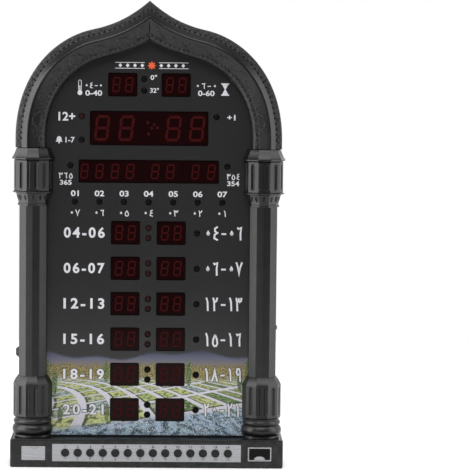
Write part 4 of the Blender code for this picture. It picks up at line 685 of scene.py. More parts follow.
@made_once
def dark_lens(name, colours):
    """The receiver's window, with the pale dome behind it showing low in its middle."""
    material, wire, shader, place = surface(name, LENS_COLOUR, specular=0.12)
    grained(wire, shader, place, 400.0, 0.08, 0.14, 0)
    middle = ((LENS_LOW.x + LENS_HIGH.x) / 2, 0, LENS_LOW.z)
    moved = wire.add("ShaderNodeVectorMath", {0: place, 1: middle}, operation="SUBTRACT").outputs[0]
    shape = (1 / DOME_HALF_WIDTH, 0, 1 / DOME_HEIGHT)
    squeezed = wire.add("ShaderNodeVectorMath", {0: moved, 1: shape}, operation="MULTIPLY").outputs[0]
    length = wire.add("ShaderNodeVectorMath", {0: squeezed}, operation="LENGTH").outputs["Value"]
    dome = wire.times(wire.fade(length, 1.0, 0.75), 0.8)
    wire.feed(wire.blend(dome, LENS_COLOUR, DOME_COLOUR), shader, "Base Color")
    return material


@made_once
def brushed_steel(name, colours):
    material, wire, shader, place = surface(name, colours.steel, roughness=0.3, metallic=1.0)
    grained(wire, shader, place, 1300.0, 0.22, 0.38, 0.01 * MM)
    return material


@made_once
def lacquered_board(name, colours):
    """A circuit board: lacquer with faint tracks, and the dark parts that stand on it."""
    material, wire, shader, place = surface(name, colours.board, specular=0.5)
    grained(wire, shader, place, 500.0, 0.25, 0.4, 0)
    tracks = wire.fade(wire.cells(place, 260.0, 1.0), 0.06, 0.1)
    lighter = [min(1, part * 1.8) for part in colours.board]
    green = wire.blend(tracks, lighter, colours.board)
    depth = wire.add("ShaderNodeSeparateXYZ", {0: place}).outputs[1]
    parts = wire.fade(depth, BOARD_PARTS_Y + 0.1 * MM, BOARD_PARTS_Y - 0.1 * MM)
    wire.feed(wire.blend(parts, green, colours.dark_lamp), shader, "Base Color")
    return material


# Geometry trees

GEOMETRY_OUT = [("Geometry", "NodeSocketGeometry")]


@built_once
def placed_copies(name):
    """Copies of a figure on every point, sized and turned by the points' own values."""
    inputs = [("Geometry", "NodeSocketGeometry", None), ("Figure", "NodeSocketObject", None),
              ("Overall size", "NodeSocketFloat", 1.0), ("Material", "NodeSocketMaterial", None)]
    tree, wire, given, result = group("GeometryNodeTree", name, inputs, GEOMETRY_OUT)
    figure = wire.add("GeometryNodeObjectInfo", {"Object": given["Figure"]}, transform_space="ORIGINAL")
    size, turn = (wire.add("GeometryNodeInputNamedAttribute", {"Name": label}, data_type="FLOAT_VECTOR")
                  .outputs[0] for label in ("size", "turn"))
    turned = wire.add("FunctionNodeEulerToRotation", {0: turn}).outputs[0]
    sized = {0: size, "Scale": given["Overall size"]}
    scaled = wire.add("ShaderNodeVectorMath", sized, operation="SCALE").outputs[0]
    inputs = {"Points": given["Geometry"], "Instance": figure.outputs["Geometry"], "Rotation": turned,
              "Scale": scaled}
    copies = wire.add("GeometryNodeInstanceOnPoints", inputs).outputs[0]
    return solid_end(tree, wire, given, result, copies)


@built_once
def beads_along_a_path(name):
    """Beads at an even pitch along every path."""
    inputs = [("Geometry", "NodeSocketGeometry", None), ("Pitch", "NodeSocketFloat", 2.5 * MM),
              ("Radius", "NodeSocketFloat", 0.6 * MM), ("Material", "NodeSocketMaterial", None)]
    tree, wire, given, result = group("GeometryNodeTree", name, inputs, GEOMETRY_OUT)
    path = wire.add("GeometryNodeMeshToCurve", {"Mesh": given["Geometry"]}).outputs[0]
    spaced = {"Curve": path, "Length": given["Pitch"]}
    even = wire.add("GeometryNodeResampleCurve", spaced, mode="LENGTH").outputs[0]
    ball = {"Segments": 8, "Rings": 5, "Radius": given["Radius"]}
    bead = wire.add("GeometryNodeMeshUVSphere", ball).outputs[0]
    copies = wire.add("GeometryNodeInstanceOnPoints", {"Points": even, "Instance": bead}).outputs[0]
    return solid_end(tree, wire, given, result, copies)


@built_once
def relief_strands(name):
    """Round raised lines along every path, as thick as the path's own share of the radius."""
    inputs = [("Geometry", "NodeSocketGeometry", None), ("Radius", "NodeSocketFloat", 0.4 * MM),
              ("Material", "NodeSocketMaterial", None)]
    tree, wire, given, result = group("GeometryNodeTree", name, inputs, GEOMETRY_OUT)
    share = wire.add("GeometryNodeInputNamedAttribute", {"Name": "thickness"}, data_type="FLOAT").outputs[0]
    path = wire.add("GeometryNodeMeshToCurve", {"Mesh": given["Geometry"]}).outputs[0]
    round_six = {"Resolution": 6, "Radius": given["Radius"]}
    ring = wire.add("GeometryNodeCurvePrimitiveCircle", round_six).outputs[0]
    inputs = {"Curve": path, "Profile Curve": ring, "Scale": share, "Fill Caps": True}
    tube = wire.add("GeometryNodeCurveToMesh", inputs).outputs[0]
    return solid_end(tree, wire, given, result, tube)


def solid_end(tree, wire, given, result, geometry):
    """Ends a tree: real geometry, smooth, with its material."""
    real = wire.add("GeometryNodeRealizeInstances", {"Geometry": geometry}).outputs[0]
    smooth = wire.add("GeometryNodeSetShadeSmooth", {"Geometry": real}).outputs[0]
    dressed = {"Geometry": smooth, "Material": given["Material"]}
    finished = wire.add("GeometryNodeSetMaterial", dressed).outputs[0]
    wire.feed(finished, result, "Geometry")
    return tree


# Making and placing pieces

def mesh_from(name, work):
    """A mesh from a bmesh, with its faces turned outwards."""
    bmesh.ops.recalc_face_normals(work, faces=work.faces)
    mesh = bpy.data.meshes.new(name)
    work.to_mesh(mesh)
    work.free()
    return mesh


def piece_from(name, work, *materials):
    """An object at the origin from a bmesh."""
    return linked(name, mesh_from(name, work), *materials)


def linked(name, mesh, *materials):
    piece = bpy.data.objects.new(name, mesh)
    bpy.context.scene.collection.objects.link(piece)
    for material in materials:
        mesh.materials.append(material)
    return piece


def baked(piece):
    """Turns the piece's modifiers into its mesh."""
    graph = bpy.context.evaluated_depsgraph_get()
    mesh = bpy.data.meshes.new_from_object(piece.evaluated_get(graph))
    piece.modifiers.clear()
    piece.data = mesh
    return piece


def softened(piece, width, segments=2, angle=30):
    """Rounds a piece's sharp edges and smooths the rest."""
    piece.data.shade_smooth()
    edges = piece.modifiers.new("Soft edges", "BEVEL")
    edges.width = width
    edges.segments = segments
    edges.limit_method = "ANGLE"
    edges.angle_limit = math.radians(angle)
    even = piece.modifiers.new("Flat faces stay flat", "WEIGHTED_NORMAL")
    even.weight = 100
    return baked(piece)


def smoothed(piece, angle=35):
    piece.data.shade_smooth()
    piece.data.set_sharp_from_angle(angle=math.radians(angle))
    return piece


def attached(piece, body, slot, *nodes):
    """Hangs a piece on its CAD body, for the CAD nodes that it stands for."""
    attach(piece, body)
    if nodes:
        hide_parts(*nodes)
    return piece


def clean_copy(node):
    """A bmesh of a CAD node with its loose triangles joined into whole faces."""
    work = bmesh.new()
    work.from_mesh(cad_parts[node].data)
    bmesh.ops.remove_doubles(work, verts=work.verts, dist=WELD)
    bmesh.ops.dissolve_limit(work, angle_limit=math.radians(1), verts=work.verts, edges=work.edges)
    return work


def refined(name, node, body, slot, material, width, segments=2):
    """A CAD node's own shape with soft edges."""
    piece = softened(piece_from(name, clean_copy(node), material), width, segments)
    return attached(piece, body, slot, node)


def grown(name, mesh, tree, **inputs):
    """A piece made by a geometry tree on a mesh of points or paths."""
    piece = linked(name, mesh)
    modifier = piece.modifiers.new("Growth", "NODES")
    modifier.node_group = tree
    sockets = {item.name: item.identifier for item in tree.interface.items_tree if item.in_out == "INPUT"}
    for label, value in inputs.items():
        modifier[sockets[label.replace("_", " ")]] = value
    piece.update_tag()
    return baked(piece)


def points_mesh(name, spots):
    """Points with a size and a turn each, from (place, size, turn)."""
    mesh = bpy.data.meshes.new(name)
    mesh.from_pydata([place for place, _, _ in spots], [], [])
    size = mesh.attributes.new("size", "FLOAT_VECTOR", "POINT")
    turn = mesh.attributes.new("turn", "FLOAT_VECTOR", "POINT")
    for index, (_, scale, angles) in enumerate(spots):
        size.data[index].vector = scale
        turn.data[index].vector = angles
    return mesh


def upright(places):
    """Spots for figures of their own size, not turned."""
    return [(place, (1, 1, 1), (0, 0, 0)) for place in places]


def copies_of(name, figure, spots, material):
    """A figure's mesh repeated at spots, as one piece."""
    sample = linked(name + "_figure", figure)
    piece = grown(name, points_mesh(name, spots), placed_copies(), Figure=sample, Material=material)
    bpy.data.objects.remove(sample)
    return piece


def paths_mesh(name, paths):
    """Open paths of (place, thickness) points as one mesh of edges."""
    places, thicknesses, edges = [], [], []
    for path in paths:
        start = len(places)
        places += [place for place, _ in path]
        thicknesses += [thickness for _, thickness in path]
        edges += [(index, index + 1) for index in range(start, len(places) - 1)]
    mesh = bpy.data.meshes.new(name)
    mesh.from_pydata(places, edges, [])
    thickness = mesh.attributes.new("thickness", "FLOAT", "POINT")
    thickness.data.foreach_set("value", thicknesses)
    return mesh


def plate(name, outlines, front, back, *materials):
    """A flat plate facing -Y from outlines in X and Z, the later ones being holes."""
    curve = bpy.data.curves.new(name, "CURVE")
    curve.dimensions = "2D"
    curve.fill_mode = "BOTH"
    curve.extrude = (back - front) / 2
    for outline in outlines:
        spline = curve.splines.new("POLY")
        spline.points.add(len(outline) - 1)
        for point, (x, z) in zip(spline.points, outline):
            point.co = (x, z, 0, 1)
        spline.use_cyclic_u = True
    mesh = mesh_of_curve(curve)
    mesh.transform(Matrix.Translation((0, (front + back) / 2, 0)) @ Matrix.Rotation(math.pi / 2, 4, "X"))
    work = bmesh.new()
    work.from_mesh(mesh)
    bmesh.ops.remove_doubles(work, verts=work.verts, dist=WELD)
    return piece_from(name, work, *materials)


def mesh_of_curve(curve):
    holder = bpy.data.objects.new("curve", curve)
    bpy.context.scene.collection.objects.link(holder)
    graph = bpy.context.evaluated_depsgraph_get()
    mesh = bpy.data.meshes.new_from_object(holder.evaluated_get(graph))
    bpy.data.objects.remove(holder)
    return mesh


def rounded_rectangle(centre_x, centre_z, width, height, radius, steps=6):
    outline = []
    for corner in range(4):
        side_x = 1 if corner in (0, 3) else -1
        side_z = 1 if corner in (0, 1) else -1
        middle = Vector((centre_x + side_x * (width / 2 - radius),
                         centre_z + side_z * (height / 2 - radius)))
        for step in range(steps + 1):
            angle = math.pi / 2 * (corner + step / steps)
            outline.append(middle + radius * Vector((math.cos(angle), math.sin(angle))))
    return outline


def circle(centre_x, centre_z, radius, sides=40):
    return [Vector((centre_x + radius * math.cos(math.tau * side / sides),
                    centre_z + radius * math.sin(math.tau * side / sides))) for side in range(sides)]


def bridged(work, first, second, closed=True):
    """Adds the faces between two rows of vertices."""
    count = len(first)
    for index in range(count if closed else count - 1):
        following = (index + 1) % count
        work.faces.new((first[index], first[following], second[following], second[index]))


def turned(work, profile, sides, place=(0, 0, 0)):
    """Adds a solid turned round Y from (radius, distance along Y) points; its ends close on the axis."""
    rings = []
    for radius, along in profile:
        count = 1 if radius == 0 else sides
        ring = []
        for side in range(count):
            angle = math.tau * side / sides
            spot = Vector((radius * math.cos(angle), along, radius * math.sin(angle)))
            ring.append(work.verts.new(spot + Vector(place)))
        rings.append(ring)
    for first, second in zip(rings, rings[1:]):
        for side in range(sides):
            following = (side + 1) % sides
            corners = []
            for ring, index in ((first, side), (first, following), (second, following), (second, side)):
                vertex = ring[index % len(ring)]
                if vertex not in corners:
                    corners.append(vertex)
            if len(corners) > 2:
                work.faces.new(corners)


# The arch

def bezier(points, along):
    rest = 1 - along
    weights = (rest ** 3, 3 * along * rest ** 2, 3 * along ** 2 * rest, along ** 3)
    return sum((Vector(point) * weight for point, weight in zip(points, weights)), Vector((0, 0)))


def edge_point(shares, half_width, tip_z, along):
    span = 0 if along <= 1 else 1
    across, rise = bezier(shares[span * 3:span * 3 + 4], along - span)
    return Vector((across * half_width, ARCH_SPRING_Z + rise * (tip_z - ARCH_SPRING_Z)))


def band_point(along, share):
    """A point of the arch's band; along runs from 0 at the spring to 2 at the tip."""
    outer = edge_point(OUTER_EDGE_SHARES, ARCH_HALF_WIDTH, TOTAL_HEIGHT, along)
    inner = edge_point(INNER_EDGE_SHARES, ARCH_HALF_WIDTH - ARCH_BAND, TOTAL_HEIGHT - ARCH_TIP_BAND, along)
    return outer.lerp(inner, share)


def section_depth(share):
    """How far the band stands in front of its back at a share of its width."""
    for (low, low_depth), (high, high_depth) in zip(BAND_SECTION_SHARES[1:], BAND_SECTION_SHARES[2:]):
        if low <= share <= high and high > low:
            return (low_depth + (high_depth - low_depth) * (share - low) / (high - low)) * ARCH_DEPTH
    return 0.0


def on_arch(along, share, side=1):
    """A point of the arch's front face."""
    spot = band_point(along, share)
    return Vector((side * spot.x, TRIM_BACK_Y - section_depth(share), spot.y))


def arch_lengths(share, steps=300):
    """The distance run along the arch at each of many steps."""
    lengths, last = [0.0], band_point(0, share)
    for step in range(1, steps + 1):
        spot = band_point(2 * step / steps, share)
        lengths.append(lengths[-1] + (spot - last).length)
        last = spot
    return lengths


class ArchRule:
    """Turns a length along the arch into the place it falls on."""

    def __init__(self, share):
        self.lengths = arch_lengths(share)
        self.total = self.lengths[-1]

    def along(self, length):
        steps = len(self.lengths) - 1
        for step in range(steps):
            if self.lengths[step + 1] >= length:
                part = (length - self.lengths[step]) / (self.lengths[step + 1] - self.lengths[step])
                return 2 * (step + max(0.0, part)) / steps
        return 2.0


def arch_body(material):
    """The arched band: a ridge, a dark slope and two stippled strips, with a fine seam at the tip."""
    rule = ArchRule(0.5)
    stations = [-1.0] + [step / ARCH_STEPS for step in range(2 * ARCH_STEPS)]
    stations += [rule.along(rule.total - SEAM_HALF_WIDTH), 2.0]
    work = bmesh.new()
    map_layer = work.loops.layers.uv.new("Arch map")
    rings, runs = [], []
    run, last = 0.0, band_point(0, 0.5)
    for station in stations:
        ring = []
        for share, depth in BAND_SECTION_SHARES:
            spot = band_point(max(station, 0), share)
            if station < 0:
                spot.y = ARCH_LOW.z
            if station == 2:
                spot.x = 0
                depth = max(0, depth - SEAM_DEPTH_SHARE)
            ring.append(work.verts.new((spot.x, TRIM_BACK_Y - depth * ARCH_DEPTH, spot.y)))
        rings.append(ring)
        # The map's length runs evenly, so that the pips keep their size
        middle = band_point(max(station, 0), 0.5)
        run += (middle - last).length
        last = middle
        runs.append(run if station >= 0 else ARCH_LOW.z - ARCH_SPRING_Z)
    across = [share * ARCH_BAND for share, _ in BAND_SECTION_SHARES]
    for index, (lower, upper) in enumerate(zip(rings, rings[1:])):
        for side in range(len(across)):
            following = (side + 1) % len(across)
            corners = ((lower, side, index), (lower, following, index),
                       (upper, following, index + 1), (upper, side, index + 1))
            face = work.faces.new([ring[corner] for ring, corner, _ in corners])
            for loop, (_, corner, level) in zip(face.loops, corners):
                loop[map_layer].uv = (runs[level], across[corner])
    work.faces.new(rings[0])
    half = piece_from("arch_frame_relief", work, material)
    mirror = half.modifiers.new("Other half", "MIRROR")
    mirror.merge_threshold = 0.01 * MM
    return smoothed(baked(half), 38)


def scroll_paths(rule, pitch):
    """A waving vine on the arch's slope with a curl in every bend and a bud at every turn."""
    waves = round(rule.total / pitch)
    pitch = rule.total / waves
    paths = []
    for side in (-1, 1):
        def spot(length, offset):
            share = min(max(SCROLL_SHARE + offset / ARCH_BAND, SCROLL_EDGE_SHARES[0]), SCROLL_EDGE_SHARES[1])
            return on_arch(rule.along(min(max(length, 0), rule.total)), share, side)
        vine = []
        for step in range(waves * SCROLL_STEPS + 1):
            length = pitch * step / SCROLL_STEPS
            vine.append((spot(length, VINE_SWING * math.sin(math.tau * length / pitch)), 1.0))
        paths.append(vine[1:-4])
        for wave in range(2 * waves):
            heading = 1 if wave % 2 == 0 else -1
            centre = pitch * (wave / 2 + 0.3)
            curl = []
            for step in range(SCROLL_STEPS + 1):
                part = step / SCROLL_STEPS
                turn = math.radians(-30 + 480 * part)
                radius = CURL_RADIUS * (1 - 0.78 * part)
                offset = heading * (-0.4 * MM + radius * math.sin(turn))
                curl.append((spot(centre + radius * math.cos(turn) * 1.25, offset), 0.9 - 0.35 * part))
            if pitch < centre < rule.total - 0.35 * pitch or wave == 0:
                paths.append(curl)
            for spread in (-1, 1):
                start = pitch * (wave / 2 + 0.02)
                bud = [(spot(start + spread * 0.6 * MM * step, heading * spread * (0.5 + 0.75 * step) * MM),
                        thickness) for step, thickness in enumerate(BUD_THICKNESSES)]
                if 1 * MM < start < rule.total - 6 * MM:
                    paths.append(bud)
    return paths


class CLOCK_OT_arch(bpy.types.Operator):
    """Make the arch with its beads and scroll"""
    bl_idname = "clock.arch"
    bl_label = "Arch"

    def execute(self, context):
        sizes = context.scene.clock_sizes
        attached(arch_body(arch_casing()), "clock", "casing", "arch_frame")
        strips = (("arch_outer_beads", OUTER_BEADS_SHARE, sizes.bead_pitch, sizes.bead_radius),
                  ("arch_inner_beads", INNER_BEADS_SHARE, sizes.inner_bead_pitch, sizes.bead_radius * 0.85))
        for name, share, pitch, radius in strips:
            rule = ArchRule(share)
            tip = rule.along(rule.total - pitch / 2)
            paths = [[(on_arch(tip * step / PATH_STEPS, share, side), 1.0) for step in range(PATH_STEPS + 1)]
                     for side in (-1, 1)]
            # The beads carry the dots' painted shade.
            beads = grown(name, paths_mesh(name, paths), beads_along_a_path(),
                          Pitch=pitch, Radius=radius, Material=sunk_dots())
            attached(beads, "clock", "casing")
        rule = ArchRule(SCROLL_SHARE)
        scroll = grown("arch_scroll", paths_mesh("arch_scroll", scroll_paths(rule, sizes.scroll_pitch)),
                       relief_strands(), Radius=sizes.scroll_radius, Material=plain("satin casing"))
        attached(scroll, "clock", "casing")
        return {"FINISHED"}


# The columns

def facet_share(angle):
    """How much of a round part's radius a ten-sided one keeps at an angle, with a flat side to the front."""
    half = math.pi / FACETS
    return math.cos(half) / math.cos((angle + half) % (2 * half) - half)


def flute_cut(sizes, angle, height, drum):
    """How deep the flutes cut at a place of a drum, found by its angle round it and its height."""
    if not drum[0] <= height <= drum[1]:
        return 0.0
    nearest = min(FLUTE_ANGLES, key=lambda middle: abs(abs(angle) - middle))
    aside = (abs(angle) - nearest) * DRUM_RADIUS
    reach = (drum[1] - drum[0]) / 2 - FLUTE_END_MARGIN - sizes.flute_radius
    beyond = max(0.0, abs(height - (drum[0] + drum[1]) / 2) - reach)
    distance = math.hypot(aside, beyond)
    if distance >= sizes.flute_radius:
        return 0.0
    depth = math.sqrt(sizes.flute_radius ** 2 - distance ** 2) - (sizes.flute_radius - sizes.flute_depth)
    return max(0.0, depth)


def half_turned(work, centre_x, profile, sizes, drum, flat_from):
    """Adds the front part of a turned solid with a fluted drum, closed flat at the back.

    From the height flat_from upwards it has flat sides."""
    rings = []
    angles = [math.radians(90 * (2 * step / COLUMN_SIDES - 1)) for step in range(COLUMN_SIDES + 1)]
    for radius, height in profile:
        ring = [work.verts.new((centre_x - radius, TRIM_BACK_Y, height))]
        for angle in angles:
            share = facet_share(angle) if height >= flat_from else 1.0
            kept = radius * share - flute_cut(sizes, angle, height, drum)
            ring.append(work.verts.new((centre_x + kept * math.sin(angle),
                                        min(TRIM_BACK_Y, COLUMN_AXIS_Y - kept * math.cos(angle)), height)))
        ring.append(work.verts.new((centre_x + radius, TRIM_BACK_Y, height)))
        rings.append(ring)
    for lower, upper in zip(rings, rings[1:]):
        bridged(work, lower, upper)
    work.faces.new(rings[0])
    work.faces.new(rings[-1])


def drum_rows(drum, step=0.55 * MM):
    count = round((drum[1] - drum[0]) / step)
    return [drum[0] + (drum[1] - drum[0]) * row / count for row in range(count + 1)]


def column(name, side, sizes, material):
    """A half column: fluted foot, many-sided shaft with a low crest, and a flared, fluted capital."""
    centre_x = side * COLUMN_X
    work = bmesh.new()
    top = COLUMN_TOP_Z
    capital = [(radius * MM, top - drop * MM) for radius, drop in CAPITAL_ABOVE]
    capital += [(DRUM_RADIUS, top - drop) for drop in drum_rows(CAPITAL_DRUM)]
    capital += [(radius * MM, top - drop * MM) for radius, drop in CAPITAL_BELOW]
    high_drum = (top - CAPITAL_DRUM[1], top - CAPITAL_DRUM[0])
    half_turned(work, centre_x, capital, sizes, high_drum, 0.0)
    foot = [(radius * MM, COLUMN_FOOT_Z + rise * MM) for radius, rise in FOOT_ABOVE]
    foot += [(DRUM_RADIUS, COLUMN_FOOT_Z + rise) for rise in reversed(drum_rows(FOOT_DRUM))]
    foot += [(radius * MM, COLUMN_FOOT_Z + rise * MM) for radius, rise in FOOT_BELOW]
    low_drum = (COLUMN_FOOT_Z + FOOT_DRUM[0], COLUMN_FOOT_Z + FOOT_DRUM[1])
    half_turned(work, centre_x, foot, sizes, low_drum, low_drum[0])
    turned_part = smoothed(piece_from(name + "_relief", work, material), 25)
    crest_y = TRIM_BACK_Y - SHAFT_DEPTH
    flat_y = crest_y + SHAFT_CREST
    chamfer_y = flat_y + SHAFT_HALF - SHAFT_FLAT_HALF
    outline = [(-SHAFT_HALF, TRIM_BACK_Y), (-SHAFT_HALF, chamfer_y), (-SHAFT_FLAT_HALF, flat_y), (0, crest_y),
               (SHAFT_FLAT_HALF, flat_y), (SHAFT_HALF, chamfer_y), (SHAFT_HALF, TRIM_BACK_Y)]
    work = bmesh.new()
    rings = [[work.verts.new((centre_x + x, y, z)) for x, y in outline]
             for z in (COLUMN_FOOT_Z + SHAFT_BOTTOM_RISE, top - SHAFT_TOP_DROP)]
    bridged(work, *rings)
    work.faces.new(rings[0])
    work.faces.new(rings[1])
    shaft = softened(piece_from(name + "_shaft", work, material), 0.45 * MM, 3, 5)
    attached(turned_part, "clock", "casing", name)
    attached(shaft, "clock", "casing")


def leaf_mesh():
    """A small pointed leaf that hangs down, with a raised middle."""
    work = bmesh.new()
    rows, across = 8, 6
    grid = []
    for row in range(rows + 1):
        part = row / rows
        width = LEAF_HALF_WIDTH * math.sin(math.pi * (0.16 + 0.84 * part) ** 0.8) ** 0.7
        if row == rows:
            width = 0.05 * MM
        line = []
        for step in range(across + 1):
            side = 2 * step / across - 1
            swell = LEAF_SWELL * (1 - side ** 2) * math.sin(math.pi * min(0.96, 0.1 + 0.86 * part))
            rib = LEAF_RIB if side == 0 else 0.0
            line.append(work.verts.new((side * width, -swell - rib + LEAF_SINK, -part * LEAF_LENGTH)))
        grid.append(line)
    for upper, lower in zip(grid, grid[1:]):
        bridged(work, upper, lower, closed=False)
    bmesh.ops.solidify(work, geom=work.faces[:], thickness=LEAF_WALL)
    return mesh_from("leaf", work)


class CLOCK_OT_columns(bpy.types.Operator):
    """Make both columns with their flutes and leaves"""
    bl_idname = "clock.columns"
    bl_label = "Columns"

    def execute(self, context):
        sizes = context.scene.clock_sizes
        spots = []
        for name, side in (("column_left", -1), ("column_right", 1)):
            column(name, side, sizes, plain("satin casing"))
            spread = LEAF_SPREAD / (sizes.leaf_count - 1)
            for leaf in range(sizes.leaf_count):
                turn = spread * (leaf - (sizes.leaf_count - 1) / 2)
                radius = LEAF_RADIUS * facet_share(turn)
                place = (side * COLUMN_X + radius * math.sin(turn), COLUMN_AXIS_Y - radius * math.cos(turn),
                         COLUMN_TOP_Z - LEAF_DROP)
                spots.append((place, (1, 1, 1), (LEAF_TILT, 0, turn)))
        leaves = copies_of("capital_leaves", leaf_mesh(), spots, plain("satin casing"))
        attached(leaves, "clock", "casing")
        return {"FINISHED"}


# Casing

class CLOCK_OT_casing(bpy.types.Operator):
    """Make the body's front frame, rear cover, battery lid and plinth"""
    bl_idname = "clock.casing"
    bl_label = "Casing"

    def execute(self, context):
        edge = context.scene.clock_sizes.edge_radius
        refined("front_frame_shell", "front_frame", "clock", "casing", plain("satin casing"), edge)
        refined("rear_cover_shell", "rear_cover", "clock", "casing", plain("rear casing"), edge)
        refined("battery_lid_cover", "battery_door", "battery_lid", "casing", plain("rear casing"), 0.25 * MM)
        refined("plinth_housing", "base_housing", "clock", "casing", plain("satin casing"), edge, 3)
        refined("plinth_floor", "base_cover", "clock", "black_plastic", plain("black plastic"), 0.3 * MM)
        return {"FINISHED"}


# Panel, lamps and digits

def panel_outline():
    """The panel's arched outline, a constant inset inside the arch's outer edge."""
    share = (ARCH_HALF_WIDTH - PANEL_HIGH.x) / ARCH_BAND
    right = [Vector((PANEL_HIGH.x, PANEL_LOW.z))]
    right += [band_point(step / 48, share) for step in range(96)]
    tip = band_point(2, share)
    return right + [Vector((0, tip.y))] + [Vector((-point.x, point.y)) for point in reversed(right)]


def window_pair(aside, height):
    return [rounded_rectangle(side * aside, height, *SMALL_WINDOW, WINDOW_CORNER) for side in (-1, 1)]


def window_outlines():
    outlines = window_pair(TOP_WINDOW_X, TOP_WINDOW_Z)
    outlines.append(rounded_rectangle(0, TIME_Z, *TIME_WINDOW, WINDOW_CORNER))
    outlines.append(rounded_rectangle(0, DATE_Z, *DATE_WINDOW, WINDOW_CORNER))
    for height in ROW_Z:
        outlines += window_pair(ROW_WINDOW_X, height)
    return outlines


def lamp_places():
    """Every lamp as (x, z, whether it is red)."""
    lamps = []
    for row, height in enumerate(ROW_Z):
        lamps += [(0, height + side * COLON_OFFSET, row < FIRST_PRINT_ROW) for side in (1, -1)]
        lamps.append((ROW_LAMP_X, height, False))
    lamps += [(-UNIT_LAMP_X, TOP_WINDOW_Z + side * UNIT_LAMP_OFFSET, False) for side in (1, -1)]
    lamps.append((-TIME_LAMP_X, TIME_Z + TIME_LAMP_OFFSET, True))
    lamps.append((-TIME_LAMP_X, TIME_Z - TIME_LAMP_OFFSET, False))
    lamps.append((TIME_LAMP_X, TIME_Z + TIME_LAMP_OFFSET, False))
    lamps += [(side * DATE_LAMP_X, DATE_Z + DATE_LAMP_RISE, False) for side in (-1, 1)]
    lamps += [((day - 3) * WEEKDAY_PITCH, WEEKDAY_Z, False) for day in range(7)]
    return lamps


def lamp_mesh():
    """The domed end of one lamp, round and a little flat."""
    work = bmesh.new()
    profile = [(0, LAMP_BODY), (LAMP_RADIUS, LAMP_BODY)]
    for step in range(5):
        angle = math.pi / 2 * step / 5
        profile.append((LAMP_RADIUS * math.cos(angle), -LAMP_DOME * math.sin(angle)))
    turned(work, profile + [(0, -LAMP_DOME)], 20)
    return mesh_from("lamp", work)


def rim_mesh():
    """The fine raised rim round a lamp's hole."""
    work = bmesh.new()
    inner, outer = LAMP_HOLE_RADIUS - 0.02 * MM, LAMP_HOLE_RADIUS + 0.32 * MM
    section = ((inner, 0.4), (inner, -0.06), ((inner + outer) / 2, -0.1), (outer, 0.02), (outer, 0.4))
    rings = [[work.verts.new((x, depth * MM, z)) for x, z in circle(0, 0, radius, RIM_SIDES)]
             for radius, depth in section]
    for first, second in zip(rings, rings[1:] + rings[:1]):
        bridged(work, first, second)
    return mesh_from("rim", work)


class CLOCK_OT_panel(bpy.types.Operator):
    """Make the printed panel and the lamps behind it"""
    bl_idname = "clock.panel"
    bl_label = "Panel and lamps"

    def execute(self, context):
        lamps = lamp_places()
        outlines = [panel_outline()] + window_outlines()
        outlines += [circle(x, z, LAMP_HOLE_RADIUS) for x, z, _ in lamps]
        panel = plate("front_panel", outlines, PANEL_LOW.y, PANEL_HIGH.y, printed_panel())
        softened(panel, 0.12 * MM, 2, 60)
        attached(panel, "clock", "panel", "display_panel")
        for name, red, material in (("lamps_red", True, plain("red lamp")),
                                    ("lamps_dark", False, plain("dark lamp"))):
            spots = upright((x, LAMP_Y, z) for x, z, tinted in lamps if tinted == red)
            attached(copies_of(name, lamp_mesh(), spots, material), "clock", "black_plastic")
        rims = upright((x, PANEL_LOW.y, z) for x, z, _ in lamps)
        attached(copies_of("lamp_rims", rim_mesh(), rims, plain("lamp rim")), "clock", "panel")
        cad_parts["display_board"].data.materials[0] = lacquered_board()
        for node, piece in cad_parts.items():
            if node.endswith("_display"):
                piece.data.materials[0] = display_window()
        return {"FINISHED"}


def seven_segments():
    """One digit of seven bars in a box one wide and one high, leaning to the right."""
    work = bmesh.new()
    thick, lean, gap = 0.105, 0.16, 0.018
    low, middle, high = thick / 2, 0.5, 1 - thick / 2
    left, right = thick * 0.85, 1 - thick * 0.85
    ends = [((left, high), (right, high)), ((left, middle), (right, middle)), ((left, low), (right, low)),
            ((left, middle), (left, high)), ((right, middle), (right, high)),
            ((left, low), (left, middle)), ((right, low), (right, middle))]
    for start, end in ends:
        start, end = Vector(start), Vector(end)
        along = (end - start).normalized()
        across = Vector((-along.y, along.x))
        width = thick / 2 if along.y == 0 else thick * 0.85
        tip = thick / 2
        start, end = start + along * gap, end - along * gap
        bar = [start, start + along * tip + across * width, end - along * tip + across * width,
               end, end - along * tip - across * width, start + along * tip - across * width]
        front = [work.verts.new((x * (1 - lean) + y * lean - 0.5, 0, y - 0.5)) for x, y in bar]
        back = [work.verts.new((vertex.co.x, 1, vertex.co.z)) for vertex in front]
        work.faces.new(front)
        work.faces.new(back)
        bridged(work, front, back)
    return mesh_from("digit", work)


def digit_spots():
    """Centre, size and turn of every digit, from the left and right ends of its box in millimetres."""
    spots = []

    def put(pairs, height, tall):
        for low, high in pairs:
            place = ((low + high) / 2 * MM, DISPLAY_Y - 0.06 * MM, height)
            spots.append((place, ((high - low) * MM, 0.05 * MM, tall), (0, 0, 0)))

    put(((-50, -34.6), (-28.3, -12.6), (14, 29.9), (35.4, 51.2)), TIME_Z, TIME_DIGIT_HEIGHT)
    put(((-62.2, -54), (-48.7, -40.2), (-34.8, -26.3), (-21.4, -12.4), (1.4, 10), (15, 23.8), (38, 46.2),
         (52.2, 60.6)), DATE_Z, DIGIT_HEIGHT)
    windows = [(TOP_WINDOW_X, TOP_WINDOW_Z)] + [(ROW_WINDOW_X, height) for height in ROW_Z]
    for aside, height in windows:
        for centre in (-aside / MM, aside / MM):
            put(((centre - 9.9, centre - 1.5), (centre + 1.5, centre + 9.9)), height, DIGIT_HEIGHT)
    return spots


